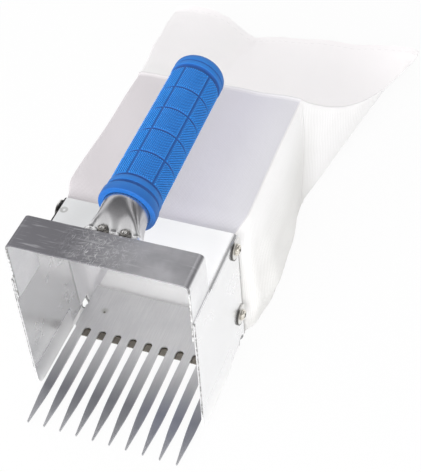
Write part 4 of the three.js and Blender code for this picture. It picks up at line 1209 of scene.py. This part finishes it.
# Painted shade darkens the folds and the crease at the hoop, and a row of stitches runs along the tail.
fold_line = add(bag_cloth, "ShaderNodeAttribute", attribute_name="creased").outputs["Fac"]
white_cloth = tinted(bag_cloth, times(bag_cloth, fold_line, 0.3), white_cloth, "#B9B2B4")
dashes = add(bag_cloth, "ShaderNodeTexWave", {"Vector": place, "Scale": 52}, bands_direction="X").outputs[1]
stitch_row = times(bag_cloth, within(bag_cloth, along, 0.3298, 0.3302),
                   within(bag_cloth, along, 0.3310, 0.3306), within(bag_cloth, dashes, 0.4, 0.6))
white_cloth = tinted(bag_cloth, times(bag_cloth, stitch_row, 0.16), white_cloth, "#BDB9BE")
threads = add(bag_cloth, "ShaderNodeBump", {"Height": weave.outputs[0], "Strength": 0.25,
                                            "Distance": 0.0003})
cloth = add(bag_cloth, "ShaderNodeBsdfPrincipled", {"Base Color": white_cloth, "Roughness": 0.85,
                                                    "Subsurface Weight": 0.08, "Subsurface Scale": 0.004,
                                                    "Subsurface Radius": (1, 1, 1),
                                                    "Normal": threads.outputs[0], "Sheen Weight": 0.15,
                                                    "Sheen Roughness": 0.5})
add(bag_cloth, "ShaderNodeOutputMaterial", {"Surface": cloth.outputs[0]})
bag.data.materials.append(bag_cloth)

# Inside face of the same cloth: daylight comes through it from all sides, which a faint glow stands for.
# Painted shade greys its left wall a little and its front rim more.
bag_inside = blank("woven_polyester_inside_face")
place = add(bag_inside, "ShaderNodeTexCoord").outputs["Object"]
across, along, _ = add(bag_inside, "ShaderNodeSeparateXYZ", {0: place}).outputs
smears = add(bag_inside, "ShaderNodeTexNoise", {"Vector": place, "Scale": 40, "Detail": 5})
lining = graded(add(bag_inside, "ShaderNodeValToRGB", {0: smears.outputs[0]}),
                (0.0, linear("#F2F1F2")), (1.0, linear("#FFFFFF")))
left_wall_painted_shade = times(bag_inside, within(bag_inside, across, -0.0560, -0.0566),
               within(bag_inside, along, 0.075, 0.035))
lining = tinted(bag_inside, left_wall_painted_shade, lining, "#F4F3F6")
front_rim_painted_shade = within(bag_inside, along, FRONT_RIM, BAG_START + 0.0001)
lining = tinted(bag_inside, front_rim_painted_shade, lining, "#C4C4C6")
glow = times(bag_inside, within(bag_inside, along, MOUTH, MOUTH + 0.004),
             within(bag_inside, across, -0.0570, -0.0562), 0.11)
yarns = add(bag_inside, "ShaderNodeTexWave", {"Vector": place, **THREADS}, bands_direction="Y")
inside_bumps = add(bag_inside, "ShaderNodeBump", {"Height": yarns.outputs[1], "Strength": 0.2,
                                                  "Distance": 0.0003})
inside_cloth = add(bag_inside, "ShaderNodeBsdfPrincipled", {"Base Color": lining, "Roughness": 0.85,
                                                            "Subsurface Weight": 0.35,
                                                            "Subsurface Scale": 0.004,
                                                            "Subsurface Radius": (1, 1, 1),
                                                            "Emission Color": linear("#FFFFFF"),
                                                            "Emission Strength": glow,
                                                            "Normal": inside_bumps.outputs[0]})
add(bag_inside, "ShaderNodeOutputMaterial", {"Surface": inside_cloth.outputs[0]})
bag.data.materials.append(bag_inside)
own(bag, "cloth", "bag")
